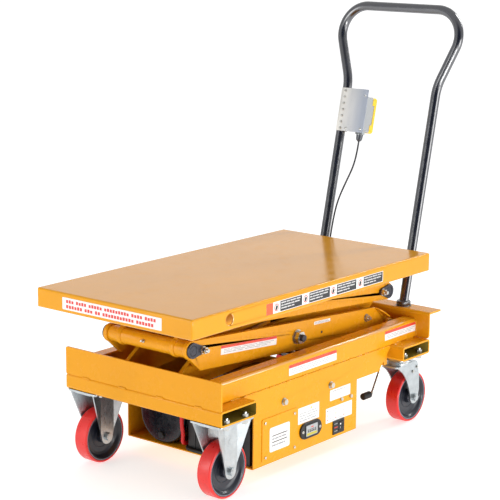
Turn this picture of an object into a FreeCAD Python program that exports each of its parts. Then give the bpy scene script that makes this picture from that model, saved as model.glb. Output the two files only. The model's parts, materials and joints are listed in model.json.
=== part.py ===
import FreeCAD, Part
import math
import os

# Double scissor lift table on casters. Millimetres, +Z up, +X towards the push handle.
# The origin is on the floor, under the middle of the overall length and width.
# Lowered pose. "left" is +Y and "right" is -Y, as seen by the operator looking along -X.

V = FreeCAD.Vector

# ---------------------------------------------------------------- overall
OVERALL_LENGTH = 1245.2
FRONT = -OVERALL_LENGTH / 2
DECK_LENGTH = 1010
DECK_WIDTH = 520
DECK_TOP = 492
DECK_SHEET = 4
SKIRT_HEIGHT = 50
DECK_UNDERSIDE = DECK_TOP - DECK_SHEET

# ---------------------------------------------------------------- base frame
BASE_FRONT = FRONT + 102
BASE_REAR = FRONT + 1015
BASE_HALF_WIDTH = 263.5
TUBE_BOTTOM = 203
TUBE_TOP = 243
TUBE_WALL = 5
FRONT_TUBE_DEPTH = 140
REAR_TUBE_DEPTH = 132
FRONT_PLATE_TOP = 316
REAR_PLATE_TOP = 319
REAR_FLANGE = 54
PLATE = 5
RAIL_HALF_WIDTH = 220
RAIL_FLANGE = 40
RAIL_TOP = 298
SIDE_PLATE = 3
SIDE_PLATE_BOTTOM = 180
REAR_TUBE_FRONT = BASE_REAR + 1 - REAR_TUBE_DEPTH

# ---------------------------------------------------------------- scissor
PIVOT_REAR = FRONT + 982
PIVOT_FRONT = FRONT + 137
BASE_PIVOT_Z = 270.5
ROW_HEIGHT = 98.5
MID_PIVOT_Z = BASE_PIVOT_Z + ROW_HEIGHT
DECK_PIVOT_Z = MID_PIVOT_Z + ROW_HEIGHT
ARM_SHEET = 12
OUTER_ARM_FACE = 140
INNER_ARM_FACE = 96
OUTER_ARM_INSIDE = OUTER_ARM_FACE - ARM_SHEET
INNER_ARM_INSIDE = INNER_ARM_FACE - ARM_SHEET
ARM_LENGTH = math.hypot(PIVOT_REAR - PIVOT_FRONT, ROW_HEIGHT)
END_RADIUS = 19.5
MID_RADIUS = 24
PIN_RADIUS = 12.45
RUNNING_GAP = 0.05
BOLT_HOLE = 5 + RUNNING_GAP
OPEN_PIVOT_GAP = 0.3
CENTRE_PIN_RADIUS = 15
CROSS_TUBE_RADIUS = 21
SMALL_TUBE_RADIUS = 17
SMALL_TUBE_S = 90

# ---------------------------------------------------------------- lift cylinders
CYLINDER_RADIUS_FROM_CENTRE = 190
CYLINDER_FOOT_ANGLE = 24
CYLINDER_HEAD_ANGLE = 38.7
CYLINDER_Y = 40
BARREL_RADIUS = 25
BARREL_BORE = 20
ROD_RADIUS = 12
EYE_WIDTH = 28

# ---------------------------------------------------------------- casters
WHEEL_RADIUS = 72.5
TREAD_INSIDE = 66.5
TREAD_WIDTH = 42
AXLE_RADIUS = 6
CASTER_Y_FRONT = 210.5
CASTER_Y_REAR = 205
FRONT_AXLE_X = FRONT + 169
SWIVEL_X = FRONT + 950
SWIVEL_OFFSET = 40
FORK_INSIDE = 25
FORK_SHEET = 4
FRONT_PLATE_LENGTH = 132
SWIVEL_PLATE_LENGTH = 120
TOP_PLATE_WIDTH = 102
BOLT_X = 36
BOLT_Y = 43
LEG_PANEL = 24
LEG_FLARE = 13

# ---------------------------------------------------------------- power unit
TRAY_FRONT = FRONT + 285
TRAY_REAR = FRONT + 731
TRAY_HALF_WIDTH = 217
TRAY_BOTTOM = 38
TRAY_TOP = 232
TRAY_REAR_TOP = 190
TRAY_SHEET = 3
RESERVOIR_Y = 99
RESERVOIR_RADIUS = 77
RESERVOIR_Z = TRAY_BOTTOM + TRAY_SHEET + 0.5 + RESERVOIR_RADIUS

# ---------------------------------------------------------------- handle and pendant
HANDLE_TUBE_RADIUS = 13.5
HANDLE_WALL = 2.5
HANDLE_FOOT_X = FRONT + 1040
HANDLE_FOOT_Y = 155
HANDLE_LEAN = 13.0
HANDLE_KNEE = 630
HANDLE_TOP = 852
HANDLE_TOP_Y = 237.5
KNEE_BEND = 140
CORNER_BEND = 80
CORD_RADIUS = 2.5
CORD_HOLE_RADIUS = 8


# ================================================================ helpers
def box(x0, x1, y0, y1, z0, z1):
    """An upright box from its two extreme corners."""
    return Part.makeBox(x1 - x0, y1 - y0, z1 - z0, V(x0, y0, z0))


def rod_y(x, z, radius, y0, y1):
    """A round bar along Y."""
    return Part.makeCylinder(radius, y1 - y0, V(x, y0, z), V(0, 1, 0))


def rod_z(x, y, radius, z0, z1):
    """A round bar along Z."""
    return Part.makeCylinder(radius, z1 - z0, V(x, y, z0), V(0, 0, 1))


def rod_x(y, z, radius, x0, x1):
    """A round bar along X."""
    return Part.makeCylinder(radius, x1 - x0, V(x0, y, z), V(1, 0, 0))


def plate_y(points, y0, y1):
    """A flat plate: an outline of (x, z) points, from y0 to y1."""
    corners = [V(x, y0, z) for x, z in points]
    outline = Part.makePolygon(corners + corners[:1])
    return Part.Face(outline).extrude(V(0, y1 - y0, 0))


def hexagon(across_flats):
    """The corners of a hexagon about (0, 0)."""
    reach = across_flats / math.sqrt(3)
    return [(reach * math.cos(math.radians(60 * i)), reach * math.sin(math.radians(60 * i)))
            for i in range(6)]


def hex_y(x, z, across_flats, y0, y1):
    """A hexagon head or nut along Y."""
    return plate_y([(x + dx, z + dz) for dx, dz in hexagon(across_flats)], y0, y1)


def hex_z(x, y, across_flats, z0, z1):
    """A hexagon head or nut along Z."""
    corners = [V(x + dx, y + dy, z0) for dx, dy in hexagon(across_flats)]
    return Part.Face(Part.makePolygon(corners + corners[:1])).extrude(V(0, 0, z1 - z0))


def fuse(shapes):
    """One solid from touching or overlapping shapes."""
    return shapes[0].fuse(shapes[1:]).removeSplitter()


def mirrored(shape):
    """The same shape on the other side of the table."""
    return shape.mirror(V(0, 0, 0), V(0, 1, 0))


def both_sides(shape):
    """A right-hand and a left-hand copy."""
    return [shape, mirrored(shape)]


def round_edges(shape, radius, chosen):
    """Rounds every edge for which chosen(edge) is true."""
    return shape.makeFillet(radius, [edge for edge in shape.Edges if chosen(edge)])


def along(edge, axis):
    """True for a straight edge along one axis."""
    ends = [vertex.Point for vertex in edge.Vertexes]
    if len(ends) < 2:
        return False
    step = ends[1] - ends[0]
    return abs(abs(step.dot(axis)) - step.Length) < 1e-6


def swept_tube(points, bends, radius):
    """A round bar along straight runs joined by tangent arcs; bends holds one radius per corner."""
    edges = []
    start = points[0]
    for i in range(1, len(points) - 1):
        back = (points[i - 1] - points[i]).normalize()
        ahead = (points[i + 1] - points[i]).normalize()
        half = math.acos(max(-1.0, min(1.0, back.dot(ahead)))) / 2
        setback = bends[i - 1] / math.tan(half)
        first = points[i] + back * setback
        last = points[i] + ahead * setback
        bisector = (back + ahead).normalize()
        centre = points[i] + bisector * (bends[i - 1] / math.sin(half))
        middle = centre - bisector * bends[i - 1]
        edges.append(Part.makeLine(start, first))
        edges.append(Part.Arc(first, middle, last).toShape())
        start = last
    edges.append(Part.makeLine(start, points[-1]))
    path = Part.Wire(edges)
    circle = Part.Wire(Part.makeCircle(radius, points[0], points[1] - points[0]))
    bar = path.makePipeShell([circle], True, False)
    if bar.Volume < 0:
        bar.reverse()
    return bar


def save(name, shapes):
    """Writes one node: a single solid, or a group of separate solids."""
    if isinstance(shapes, list):
        shape = Part.makeCompound(shapes)
    else:
        shape = shapes
    for solid in shape.Solids:
        if not solid.isValid():
            print("invalid solid in", name)
    shape.exportStep("parts/" + name + ".step")
    bounds = shape.BoundBox
    print("%-24s %d solids  %9.0f mm3  z %.1f..%.1f" %
          (name, len(shape.Solids), shape.Volume, bounds.ZMin, bounds.ZMax))


# ================================================================ base frame
def cross_tube(x0, x1):
    """A rectangular tube right across the base, with rounded long edges."""
    long_edge = lambda edge: along(edge, V(0, 1, 0))
    outer = box(x0, x1, -BASE_HALF_WIDTH, BASE_HALF_WIDTH, TUBE_BOTTOM, TUBE_TOP)
    inner = box(x0 + TUBE_WALL, x1 - TUBE_WALL, -BASE_HALF_WIDTH - 1, BASE_HALF_WIDTH + 1,
                TUBE_BOTTOM + TUBE_WALL, TUBE_TOP - TUBE_WALL)
    return round_edges(outer, 7, long_edge).cut(round_edges(inner, 3, long_edge))


def bolt_places(x, y):
    """The four bolt places of a caster's top plate."""
    return [(x + sx * BOLT_X, y + sy * BOLT_Y) for sx in (-1, 1) for sy in (-1, 1)]


def caster_places():
    """Centre of each caster's top plate."""
    return ([(FRONT_AXLE_X, side * CASTER_Y_FRONT) for side in (-1, 1)]
            + [(SWIVEL_X, side * CASTER_Y_REAR) for side in (-1, 1)])


def drill_caster_holes(tube, places):
    """Takes the caster bolt holes out of a cross tube's bottom wall."""
    for x, y in places:
        for bx, by in bolt_places(x, y):
            tube = tube.cut(rod_z(bx, by, BOLT_HOLE, TUBE_BOTTOM - 1, TUBE_BOTTOM + TUBE_WALL + 1))
    return tube


def side_rail():
    """The right-hand rail: a channel that opens inwards, in which the lower rollers run."""
    x0 = BASE_FRONT + PLATE
    x1 = BASE_REAR - PLATE
    outer = box(x0, x1, -RAIL_HALF_WIDTH, -RAIL_HALF_WIDTH + RAIL_FLANGE, TUBE_TOP, RAIL_TOP)
    outside = lambda edge: along(edge, V(1, 0, 0)) and edge.BoundBox.YMax < -RAIL_HALF_WIDTH + 1
    outer = round_edges(outer, 9, lambda edge: outside(edge) and edge.BoundBox.ZMin > RAIL_TOP - 1)
    outer = round_edges(outer, 4, lambda edge: outside(edge) and edge.BoundBox.ZMax < TUBE_TOP + 1)
    inner = box(x0 - 1, x1 + 1, -RAIL_HALF_WIDTH + PLATE, -RAIL_HALF_WIDTH + RAIL_FLANGE + 1,
                TUBE_TOP + PLATE, RAIL_TOP - PLATE)
    return outer.cut(inner)


def front_plate():
    """The upright plate on the front cross tube, with rounded corners."""
    plate = box(BASE_FRONT, BASE_FRONT + PLATE, -BASE_HALF_WIDTH, BASE_HALF_WIDTH,
                TUBE_TOP, FRONT_PLATE_TOP)
    return round_edges(plate, 5, lambda edge: along(edge, V(1, 0, 0)))


def rear_plate():
    """The upright rear plate with its top bent rearwards into a shelf for the handle."""
    web = box(BASE_REAR - PLATE, BASE_REAR, -BASE_HALF_WIDTH, BASE_HALF_WIDTH,
              TUBE_TOP, REAR_PLATE_TOP)
    low_corner = lambda edge: along(edge, V(1, 0, 0)) and edge.BoundBox.ZMax < TUBE_TOP + 1
    web = round_edges(web, 10, low_corner)
    shelf = box(BASE_REAR - PLATE, BASE_REAR + REAR_FLANGE, -BASE_HALF_WIDTH, BASE_HALF_WIDTH,
                REAR_PLATE_TOP - PLATE, REAR_PLATE_TOP)
    plate = fuse([web, shelf])
    bend = lambda edge: (along(edge, V(0, 1, 0)) and edge.BoundBox.XMax < BASE_REAR - PLATE + 1
                         and edge.BoundBox.ZMin > REAR_PLATE_TOP - 1)
    plate = round_edges(plate, 8, bend)
    hole = CORD_ROUTE[9]
    return plate.cut(rod_z(hole.x, hole.y, CORD_HOLE_RADIUS, REAR_PLATE_TOP - 20, REAR_PLATE_TOP + 20))


def side_plate():
    """The right-hand skirt plate under the rail; its rear end is cut back on a slope."""
    outline = [(BASE_FRONT + FRONT_TUBE_DEPTH, SIDE_PLATE_BOTTOM), (FRONT + 831, SIDE_PLATE_BOTTOM),
               (REAR_TUBE_FRONT, 237), (REAR_TUBE_FRONT, TUBE_TOP),
               (BASE_FRONT + FRONT_TUBE_DEPTH, TUBE_TOP)]
    plate = plate_y(outline, -RAIL_HALF_WIDTH, -RAIL_HALF_WIDTH + SIDE_PLATE)
    for x, z in TRAY_BOLTS:
        plate = plate.cut(rod_y(x, z, BOLT_HOLE, -RAIL_HALF_WIDTH - 1, -RAIL_HALF_WIDTH + SIDE_PLATE + 1))
    return plate


def base_pivot_lug(y0, y1):
    """One lug plate that carries the lower arms' fixed pivot."""
    foot = plate_y([(PIVOT_REAR - 24, TUBE_TOP), (PIVOT_REAR + 24, TUBE_TOP),
                    (PIVOT_REAR + 19, BASE_PIVOT_Z + 8), (PIVOT_REAR - 19, BASE_PIVOT_Z + 8)], y0, y1)
    lug = fuse([foot, rod_y(PIVOT_REAR, BASE_PIVOT_Z, 21, y0, y1)])
    return lug.cut(rod_y(PIVOT_REAR, BASE_PIVOT_Z, PIN_RADIUS, y0 - 1, y1 + 1))


def base_pivot_lugs():
    """Four lugs: one each side of each lower outer arm."""
    right = [base_pivot_lug(-152, -OUTER_ARM_FACE - 0.5), base_pivot_lug(-OUTER_ARM_INSIDE + 0.5, -117)]
    return right + [mirrored(lug) for lug in right]


def base_pivot_pin():
    """The right-hand fixed pivot pin, with a retaining head."""
    pin = rod_y(PIVOT_REAR, BASE_PIVOT_Z, PIN_RADIUS, -154, -115)
    return fuse([pin, rod_y(PIVOT_REAR, BASE_PIVOT_Z, 16, -158, -152)])


# ================================================================ scissor arms
REAR_BASE = (PIVOT_REAR, BASE_PIVOT_Z)
FRONT_BASE = (PIVOT_FRONT, BASE_PIVOT_Z)
REAR_MID = (PIVOT_REAR, MID_PIVOT_Z)
FRONT_MID = (PIVOT_FRONT, MID_PIVOT_Z)
REAR_DECK = (PIVOT_REAR, DECK_PIVOT_Z)
FRONT_DECK = (PIVOT_FRONT, DECK_PIVOT_Z)

# Outline of every arm. s runs along the line of the pivots from the end pivot (on the base or the
# deck) to the middle pivot, and t across it, towards the scissor's middle height.
ARM_OUTLINE = [(-13, 14.5), (66, 54.5), (ARM_LENGTH, 23.5), (ARM_LENGTH + 18, -14),
               (ARM_LENGTH - 38, -54), (0, -END_RADIUS)]


def arm_point(end, mid, s, t):
    """The (x, z) of a place on an arm given along and across its line of pivots."""
    ux = (mid[0] - end[0]) / ARM_LENGTH
    uz = (mid[1] - end[1]) / ARM_LENGTH
    side = 1 if ux * (mid[1] - end[1]) > 0 else -1
    return (end[0] + ux * s - side * uz * t, end[1] + uz * s + side * ux * t)


def arm_plate(end, mid, y0, y1, end_bore, mid_bore, centre_bore):
    """One arm: a flat bar with a sloped end corner, a rounded middle end and three bores."""
    bar = plate_y([arm_point(end, mid, s, t) for s, t in ARM_OUTLINE], y0, y1)
    arm = fuse([bar, rod_y(end[0], end[1], END_RADIUS, y0, y1), rod_y(mid[0], mid[1], MID_RADIUS, y0, y1)])
    centre = arm_point(end, mid, ARM_LENGTH / 2, 0)
    for place, radius in ((end, end_bore), (mid, mid_bore), (centre, centre_bore)):
        arm = arm.cut(rod_y(place[0], place[1], radius, y0 - 1, y1 + 1))
    return arm


def link_plate(p0, r0, p1, r1, y0, y1):
    """A plate with two round ends."""
    length = math.hypot(p1[0] - p0[0], p1[1] - p0[1])
    nx = -(p1[1] - p0[1]) / length
    nz = (p1[0] - p0[0]) / length
    sides = [(p0[0] + nx * r0, p0[1] + nz * r0), (p1[0] + nx * r1, p1[1] + nz * r1),
             (p1[0] - nx * r1, p1[1] - nz * r1), (p0[0] - nx * r0, p0[1] - nz * r0)]
    return fuse([plate_y(sides, y0, y1), rod_y(p0[0], p0[1], r0, y0, y1), rod_y(p1[0], p1[1], r1, y0, y1)])


def cylinder_foot():
    """Where the cylinders push on the lower outer arms."""
    s = ARM_LENGTH / 2 - CYLINDER_RADIUS_FROM_CENTRE * math.cos(math.radians(CYLINDER_FOOT_ANGLE))
    t = -CYLINDER_RADIUS_FROM_CENTRE * math.sin(math.radians(CYLINDER_FOOT_ANGLE))
    return arm_point(REAR_BASE, FRONT_MID, s, t)


def cylinder_head():
    """Where the cylinders push on the lower inner arms."""
    s = ARM_LENGTH / 2 + CYLINDER_RADIUS_FROM_CENTRE * math.cos(math.radians(CYLINDER_HEAD_ANGLE))
    t = CYLINDER_RADIUS_FROM_CENTRE * math.sin(math.radians(CYLINDER_HEAD_ANGLE))
    return arm_point(FRONT_BASE, REAR_MID, s, t)


def outer_frame(end, mid, end_bore, ears):
    """Two outer arms joined by a cross tube; ears adds the lift cylinders' lower brackets."""
    tube_x, tube_z = arm_point(end, mid, SMALL_TUBE_S, 0)
    pieces = [rod_y(tube_x, tube_z, SMALL_TUBE_RADIUS, -OUTER_ARM_INSIDE, OUTER_ARM_INSIDE)]
    for arm in both_sides(arm_plate(end, mid, -OUTER_ARM_FACE, -OUTER_ARM_INSIDE,
                                    end_bore, PIN_RADIUS, CENTRE_PIN_RADIUS)):
        pieces.append(arm)
    if ears:
        x, z = cylinder_foot()
        root = [arm_point(end, mid, 200, 0), arm_point(end, mid, 305, 0)]
        tip = [arm_point(end, mid, 273, -80), arm_point(end, mid, 231, -80)]
        ear = plate_y(root + tip, -OUTER_ARM_INSIDE, -118)
        ear = fuse([ear, rod_y(x, z, 22, -OUTER_ARM_INSIDE, -118)])
        pieces += both_sides(ear.cut(rod_y(x, z, PIN_RADIUS, -OUTER_ARM_INSIDE - 1, -117)))
    return fuse(pieces)


def inner_frame(end, mid, end_bore, mid_bore, second_tube_s, second_tube_radius):
    """Two inner arms joined by the bored hinge tube at their middle end and by a second tube."""
    pieces = both_sides(arm_plate(end, mid, -INNER_ARM_FACE, -INNER_ARM_INSIDE,
                                  end_bore, mid_bore, CENTRE_PIN_RADIUS + 0.08))
    hinge_tube = rod_y(mid[0], mid[1], CROSS_TUBE_RADIUS, -OUTER_ARM_INSIDE + 0.5, OUTER_ARM_INSIDE - 0.5)
    hinge_tube = hinge_tube.cut(rod_y(mid[0], mid[1], mid_bore, -OUTER_ARM_INSIDE, OUTER_ARM_INSIDE))
    x, z = arm_point(end, mid, second_tube_s, 0)
    second = rod_y(x, z, second_tube_radius, -INNER_ARM_INSIDE, INNER_ARM_INSIDE)
    return fuse(pieces + [hinge_tube, second])


def lower_inner_frame():
    """The lower inner arms with the lugs that take the cylinders' rods."""
    tube_s = ARM_LENGTH / 2 + 216
    frame = inner_frame(FRONT_BASE, REAR_MID, PIN_RADIUS + RUNNING_GAP, PIN_RADIUS + OPEN_PIVOT_GAP,
                        tube_s, 22)
    head = cylinder_head()
    lug = link_plate(arm_point(FRONT_BASE, REAR_MID, tube_s, 0), 26, head, 20, -80, -70)
    lug = lug.cut(rod_y(head[0], head[1], PIN_RADIUS, -81, -69))
    return fuse([frame] + both_sides(lug))


def upper_inner_frame():
    """The upper inner arms; their front tube is the hinge tube seen under the deck's front edge."""
    return inner_frame(REAR_DECK, FRONT_MID, PIN_RADIUS + RUNNING_GAP, PIN_RADIUS + RUNNING_GAP,
                       110, SMALL_TUBE_RADIUS)


def flag_pin(mid, end):
    """A hinge pin welded to a teardrop flag plate, which a bolt holds against the outer arm."""
    face = -OUTER_ARM_FACE
    tail = arm_point(end, mid, ARM_LENGTH - 35, 0)
    flag = link_plate(mid, 20, tail, 10, face - 6, face)
    pin = rod_y(mid[0], mid[1], PIN_RADIUS, face, -OUTER_ARM_INSIDE + 34)
    bolt = [rod_y(tail[0], tail[1], 10, face - 8, face - 6), hex_y(tail[0], tail[1], 15, face - 17, face - 8),
            rod_y(tail[0], tail[1], 5, face - 24, face - 17)]
    return fuse([flag, pin] + bolt)


def centre_pin(centre):
    """The arms' centre pivot: a shouldered pin with a washer and nut outside and a collar inside."""
    x, z = centre
    face = -OUTER_ARM_FACE
    return fuse([rod_y(x, z, CENTRE_PIN_RADIUS, face - 3, -INNER_ARM_INSIDE + 0.5),
                 rod_y(x, z, 23, -OUTER_ARM_INSIDE, -INNER_ARM_FACE - 0.5),
                 rod_y(x, z, 20, -INNER_ARM_INSIDE + 0.5, -INNER_ARM_INSIDE + 6),
                 rod_y(x, z, 20, face - 3, face),
                 hex_y(x, z, 30, face - 17, face - 3),
                 rod_y(x, z, 9, face - 26, face - 17)])


def outer_pins(end, mid):
    """The flag pins and centre pins of one pair of outer arms."""
    centre = arm_point(end, mid, ARM_LENGTH / 2, 0)
    return both_sides(flag_pin(mid, end)) + both_sides(centre_pin(centre))


def guide_block():
    """A nylon block bolted inside each lower outer arm, which steadies the inner arm when lowered."""
    x, z = arm_point(REAR_BASE, FRONT_MID, 108, 28)
    face = -OUTER_ARM_FACE
    block = rod_y(x, z, 14, -OUTER_ARM_INSIDE, -INNER_ARM_FACE - 1)
    bolt = [rod_y(x, z, 11, face - 2, face), hex_y(x, z, 15, face - 10, face - 2),
            rod_y(x, z, 5, face - 16, face - 10)]
    return block, fuse(bolt)


def roller_shaft(place, half_length):
    """A round shaft right across the table that carries a pair of rollers."""
    return rod_y(place[0], place[1], PIN_RADIUS, -half_length, half_length)


def rollers(place, radius, y0, y1):
    """A pair of flat rollers pressed on a shaft."""
    roller = rod_y(place[0], place[1], radius, -y1, -y0).cut(rod_y(place[0], place[1], PIN_RADIUS, -y1, -y0))
    return both_sides(round_edges(roller, 1.5, lambda edge: edge.BoundBox.ZLength > radius * 1.9))


# ================================================================ lift cylinders
def cylinder_axis():
    """Foot place, unit direction and pin-to-pin length of the lift cylinders, lowered."""
    foot = V(cylinder_foot()[0], 0, cylinder_foot()[1])
    head = V(cylinder_head()[0], 0, cylinder_head()[1])
    length = (head - foot).Length
    return foot, (head - foot).normalize(), length


def barrel(y):
    """A hydraulic cylinder's barrel with its foot eye, end cap and gland."""
    foot, way, length = cylinder_axis()
    start = foot + V(0, y, 0)
    body = Part.makeCylinder(BARREL_RADIUS, 186, start + way * 20, way)
    neck = Part.makeCylinder(16, 26, start, way)
    gland = Part.makeCylinder(BARREL_RADIUS + 2, 18, start + way * 190, way)
    eye = rod_y(foot.x, foot.z, 20, y - EYE_WIDTH / 2, y + EYE_WIDTH / 2)
    whole = fuse([body, neck, gland, eye])
    whole = whole.cut(Part.makeCylinder(BARREL_BORE, 161, start + way * 31, way))
    whole = whole.cut(Part.makeCylinder(ROD_RADIUS + RUNNING_GAP, 40, start + way * 185, way))
    return whole.cut(rod_y(foot.x, foot.z, PIN_RADIUS + RUNNING_GAP, y - 20, y + 20))


def piston_rod(y):
    """A piston, its rod and the rod's eye."""
    foot, way, length = cylinder_axis()
    start = foot + V(0, y, 0)
    head = foot + way * length
    piston = Part.makeCylinder(BARREL_BORE - 0.08, 14, start + way * 34, way)
    rod = Part.makeCylinder(ROD_RADIUS, length - 50, start + way * 40, way)
    eye = rod_y(head.x, head.z, 18, y - EYE_WIDTH / 2, y + EYE_WIDTH / 2)
    whole = fuse([piston, rod, eye])
    return whole.cut(rod_y(head.x, head.z, PIN_RADIUS + RUNNING_GAP, y - 20, y + 20))


# ================================================================ deck
def deck_pan():
    """The folded deck: a flat top with a skirt all round and a hole at each front roller."""
    x0 = FRONT
    x1 = FRONT + DECK_LENGTH
    half = DECK_WIDTH / 2
    outer = box(x0, x1, -half, half, DECK_TOP - SKIRT_HEIGHT, DECK_TOP)
    fold = lambda edge: along(edge, V(0, 0, 1)) or edge.BoundBox.ZMin > DECK_TOP - 1
    outer = round_edges(outer, 5, fold)
    inner = box(x0 + DECK_SHEET, x1 - DECK_SHEET, -half + DECK_SHEET, half - DECK_SHEET,
                DECK_TOP - SKIRT_HEIGHT - 1, DECK_UNDERSIDE)
    return outer.cut(inner).cut(rod_y(PIVOT_FRONT, DECK_PIVOT_Z, 14, -half - 1, half + 1))


def deck_underframe():
    """Roller channels and pivot lugs welded under the deck."""
    x0 = FRONT + 60
    x1 = FRONT + 560
    web = box(x0, x1, -218, -213, DECK_PIVOT_Z - 24.5, DECK_UNDERSIDE)
    flange = box(x0, x1, -213, -178, DECK_PIVOT_Z - 24.5, DECK_PIVOT_Z - 20.5)
    channel = fuse([web, flange])
    channel = channel.cut(rod_y(PIVOT_FRONT, DECK_PIVOT_Z, 14, -230, -205))
    pieces = both_sides(channel)
    outside = (-INNER_ARM_FACE - 12, -INNER_ARM_FACE - 0.5)
    inside = (-INNER_ARM_INSIDE + 0.5, -INNER_ARM_INSIDE + 12)
    for y0, y1 in (outside, inside):
        foot = plate_y([(PIVOT_REAR - 22, DECK_UNDERSIDE), (PIVOT_REAR + 22, DECK_UNDERSIDE),
                        (PIVOT_REAR + 18, DECK_PIVOT_Z - 4), (PIVOT_REAR - 18, DECK_PIVOT_Z - 4)], y0, y1)
        lug = fuse([foot, rod_y(PIVOT_REAR, DECK_PIVOT_Z, 19, y0, y1)])
        pieces += both_sides(lug.cut(rod_y(PIVOT_REAR, DECK_PIVOT_Z, PIN_RADIUS, y0 - 1, y1 + 1)))
    return pieces


def deck_pin():
    """The right-hand pin of the upper arms' fixed pivot on the deck."""
    return fuse([rod_y(PIVOT_REAR, DECK_PIVOT_Z, PIN_RADIUS, -112, -70),
                 rod_y(PIVOT_REAR, DECK_PIVOT_Z, 16, -112, -108)])


# ================================================================ casters
def revolved(profile, x, y, z):
    """A wheel part: (radius, half-width offset) points turned about the Y axis."""
    corners = [V(x, y + offset, z + radius) for radius, offset in profile]
    face = Part.Face(Part.makePolygon(corners + corners[:1]))
    return face.revolve(V(x, y, z), V(0, 1, 0), 360)


def wheel_hub(x, y):
    """A cast hub: rim, dished web and boss, bored for the axle."""
    bore = AXLE_RADIUS + RUNNING_GAP
    half = [(bore, 23), (16, 23), (18, 20), (20, 7), (46, 7), (54, 10), (60, 18), (TREAD_INSIDE - 1, 20),
            (TREAD_INSIDE, 19)]
    profile = [(radius, -offset) for radius, offset in half] + half[::-1]
    return revolved(profile, x, y, WHEEL_RADIUS)


def wheel_tread(x, y):
    """The tyre: a ring with rounded shoulders."""
    half = TREAD_WIDTH / 2
    ring = rod_y(x, WHEEL_RADIUS, WHEEL_RADIUS, y - half, y + half)
    ring = round_edges(ring, 5, lambda edge: edge.BoundBox.ZLength > WHEEL_RADIUS)
    return ring.cut(rod_y(x, WHEEL_RADIUS, TREAD_INSIDE, y - half - 1, y + half + 1))


def axle_bolt(x, y):
    """A caster axle: a bolt with a head at one end and a nut at the other."""
    reach = FORK_INSIDE + FORK_SHEET
    shaft = rod_y(x, WHEEL_RADIUS, AXLE_RADIUS, y - reach - 9, y + reach + 9)
    head = hex_y(x, WHEEL_RADIUS, 18, y + reach, y + reach + 8)
    nut = hex_y(x, WHEEL_RADIUS, 18, y - reach - 8, y - reach)
    return fuse([shaft, head, nut])


def top_plate(x, y, length):
    """A caster's rectangular top plate with four bolt holes."""
    plate = box(x - length / 2, x + length / 2, y - TOP_PLATE_WIDTH / 2, y + TOP_PLATE_WIDTH / 2,
                TUBE_BOTTOM - 5, TUBE_BOTTOM)
    plate = round_edges(plate, 8, lambda edge: along(edge, V(0, 0, 1)))
    for bx, by in bolt_places(x, y):
        plate = plate.cut(rod_z(bx, by, BOLT_HOLE, TUBE_BOTTOM - 6, TUBE_BOTTOM + 1))
    return plate


def fork_legs(outline, axle_x, y, end_radius):
    """Two fork legs with the given outline, ending in a round eye at the axle."""
    legs = []
    for y0 in (y - FORK_INSIDE - FORK_SHEET, y + FORK_INSIDE):
        y1 = y0 + FORK_SHEET
        leg = fuse([plate_y(outline, y0, y1), rod_y(axle_x, WHEEL_RADIUS, end_radius, y0, y1)])
        legs.append(leg.cut(rod_y(axle_x, WHEEL_RADIUS, AXLE_RADIUS + RUNNING_GAP, y0 - 1, y1 + 1)))
    return legs


def leg_flank(x, y0, way, top):
    """A front fork leg's flank: from the flat panel's edge it widens and flares away from the wheel."""
    edge = x + way * LEG_PANEL
    corners = [V(edge, y0, 88), V(x + way * 64, y0 - LEG_FLARE, top), V(edge, y0, top)]
    return Part.Face(Part.makePolygon(corners + corners[:1])).extrude(V(0, -FORK_SHEET, 0))


def front_fork(y):
    """A fixed caster's fork: top plate, crown and two legs, each a flat panel with two flared flanks."""
    x = FRONT_AXLE_X
    crown_z = TUBE_BOTTOM - 5
    panel = [(x - LEG_PANEL, crown_z), (x - LEG_PANEL, 88), (x - 20.5, WHEEL_RADIUS),
             (x + 20.5, WHEEL_RADIUS), (x + LEG_PANEL, 88), (x + LEG_PANEL, crown_z)]
    flat_leg = fork_legs(panel, x, y, 20.5)[0]
    flanks = [leg_flank(x, y - FORK_INSIDE, way, crown_z) for way in (-1, 1)]
    outer_leg = fuse([flat_leg] + flanks)
    inner_leg = outer_leg.mirror(V(x, y, 0), V(0, 1, 0))
    crown = box(x - 60, x + 60, y - FORK_INSIDE - 2, y + FORK_INSIDE + 2, crown_z - 4, crown_z)
    return fuse([top_plate(x, y, FRONT_PLATE_LENGTH), crown, outer_leg, inner_leg])


def swivel_plate(y):
    """A swivel caster's top plate with the upper ball race under it."""
    race = rod_z(SWIVEL_X, y, 36, 190, TUBE_BOTTOM - 5)
    king_pin_hole = rod_z(SWIVEL_X, y, 8 + RUNNING_GAP, 180, 201)
    return fuse([top_plate(SWIVEL_X, y, SWIVEL_PLATE_LENGTH), race]).cut(king_pin_hole)


def rear_fork(y):
    """A swivel caster's fork: king pin, lower race, crown and two swept legs."""
    x = SWIVEL_X
    axle_x = x + SWIVEL_OFFSET
    head = fuse([rod_z(x, y, 38, 176, 189.5), rod_z(x, y, 8, 185, 200)])
    crown = box(x - 48, x + 54, y - FORK_INSIDE - FORK_SHEET, y + FORK_INSIDE + FORK_SHEET, 172, 177)
    crown = round_edges(crown, 12, lambda edge: along(edge, V(0, 0, 1)))
    outline = [(axle_x - 84, 177), (axle_x - 80, 169), (axle_x - 61, 155), (axle_x - 49, 142),
               (axle_x - 38, 126), (axle_x - 28, 104), (axle_x - 22, 88), (axle_x - 18.5, WHEEL_RADIUS),
               (axle_x + 18.5, WHEEL_RADIUS), (axle_x + 24, 92), (axle_x + 22, 134), (axle_x + 18, 156),
               (axle_x + 12, 177)]
    return fuse([head, crown] + fork_legs(outline, axle_x, y, 18.5))


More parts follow.
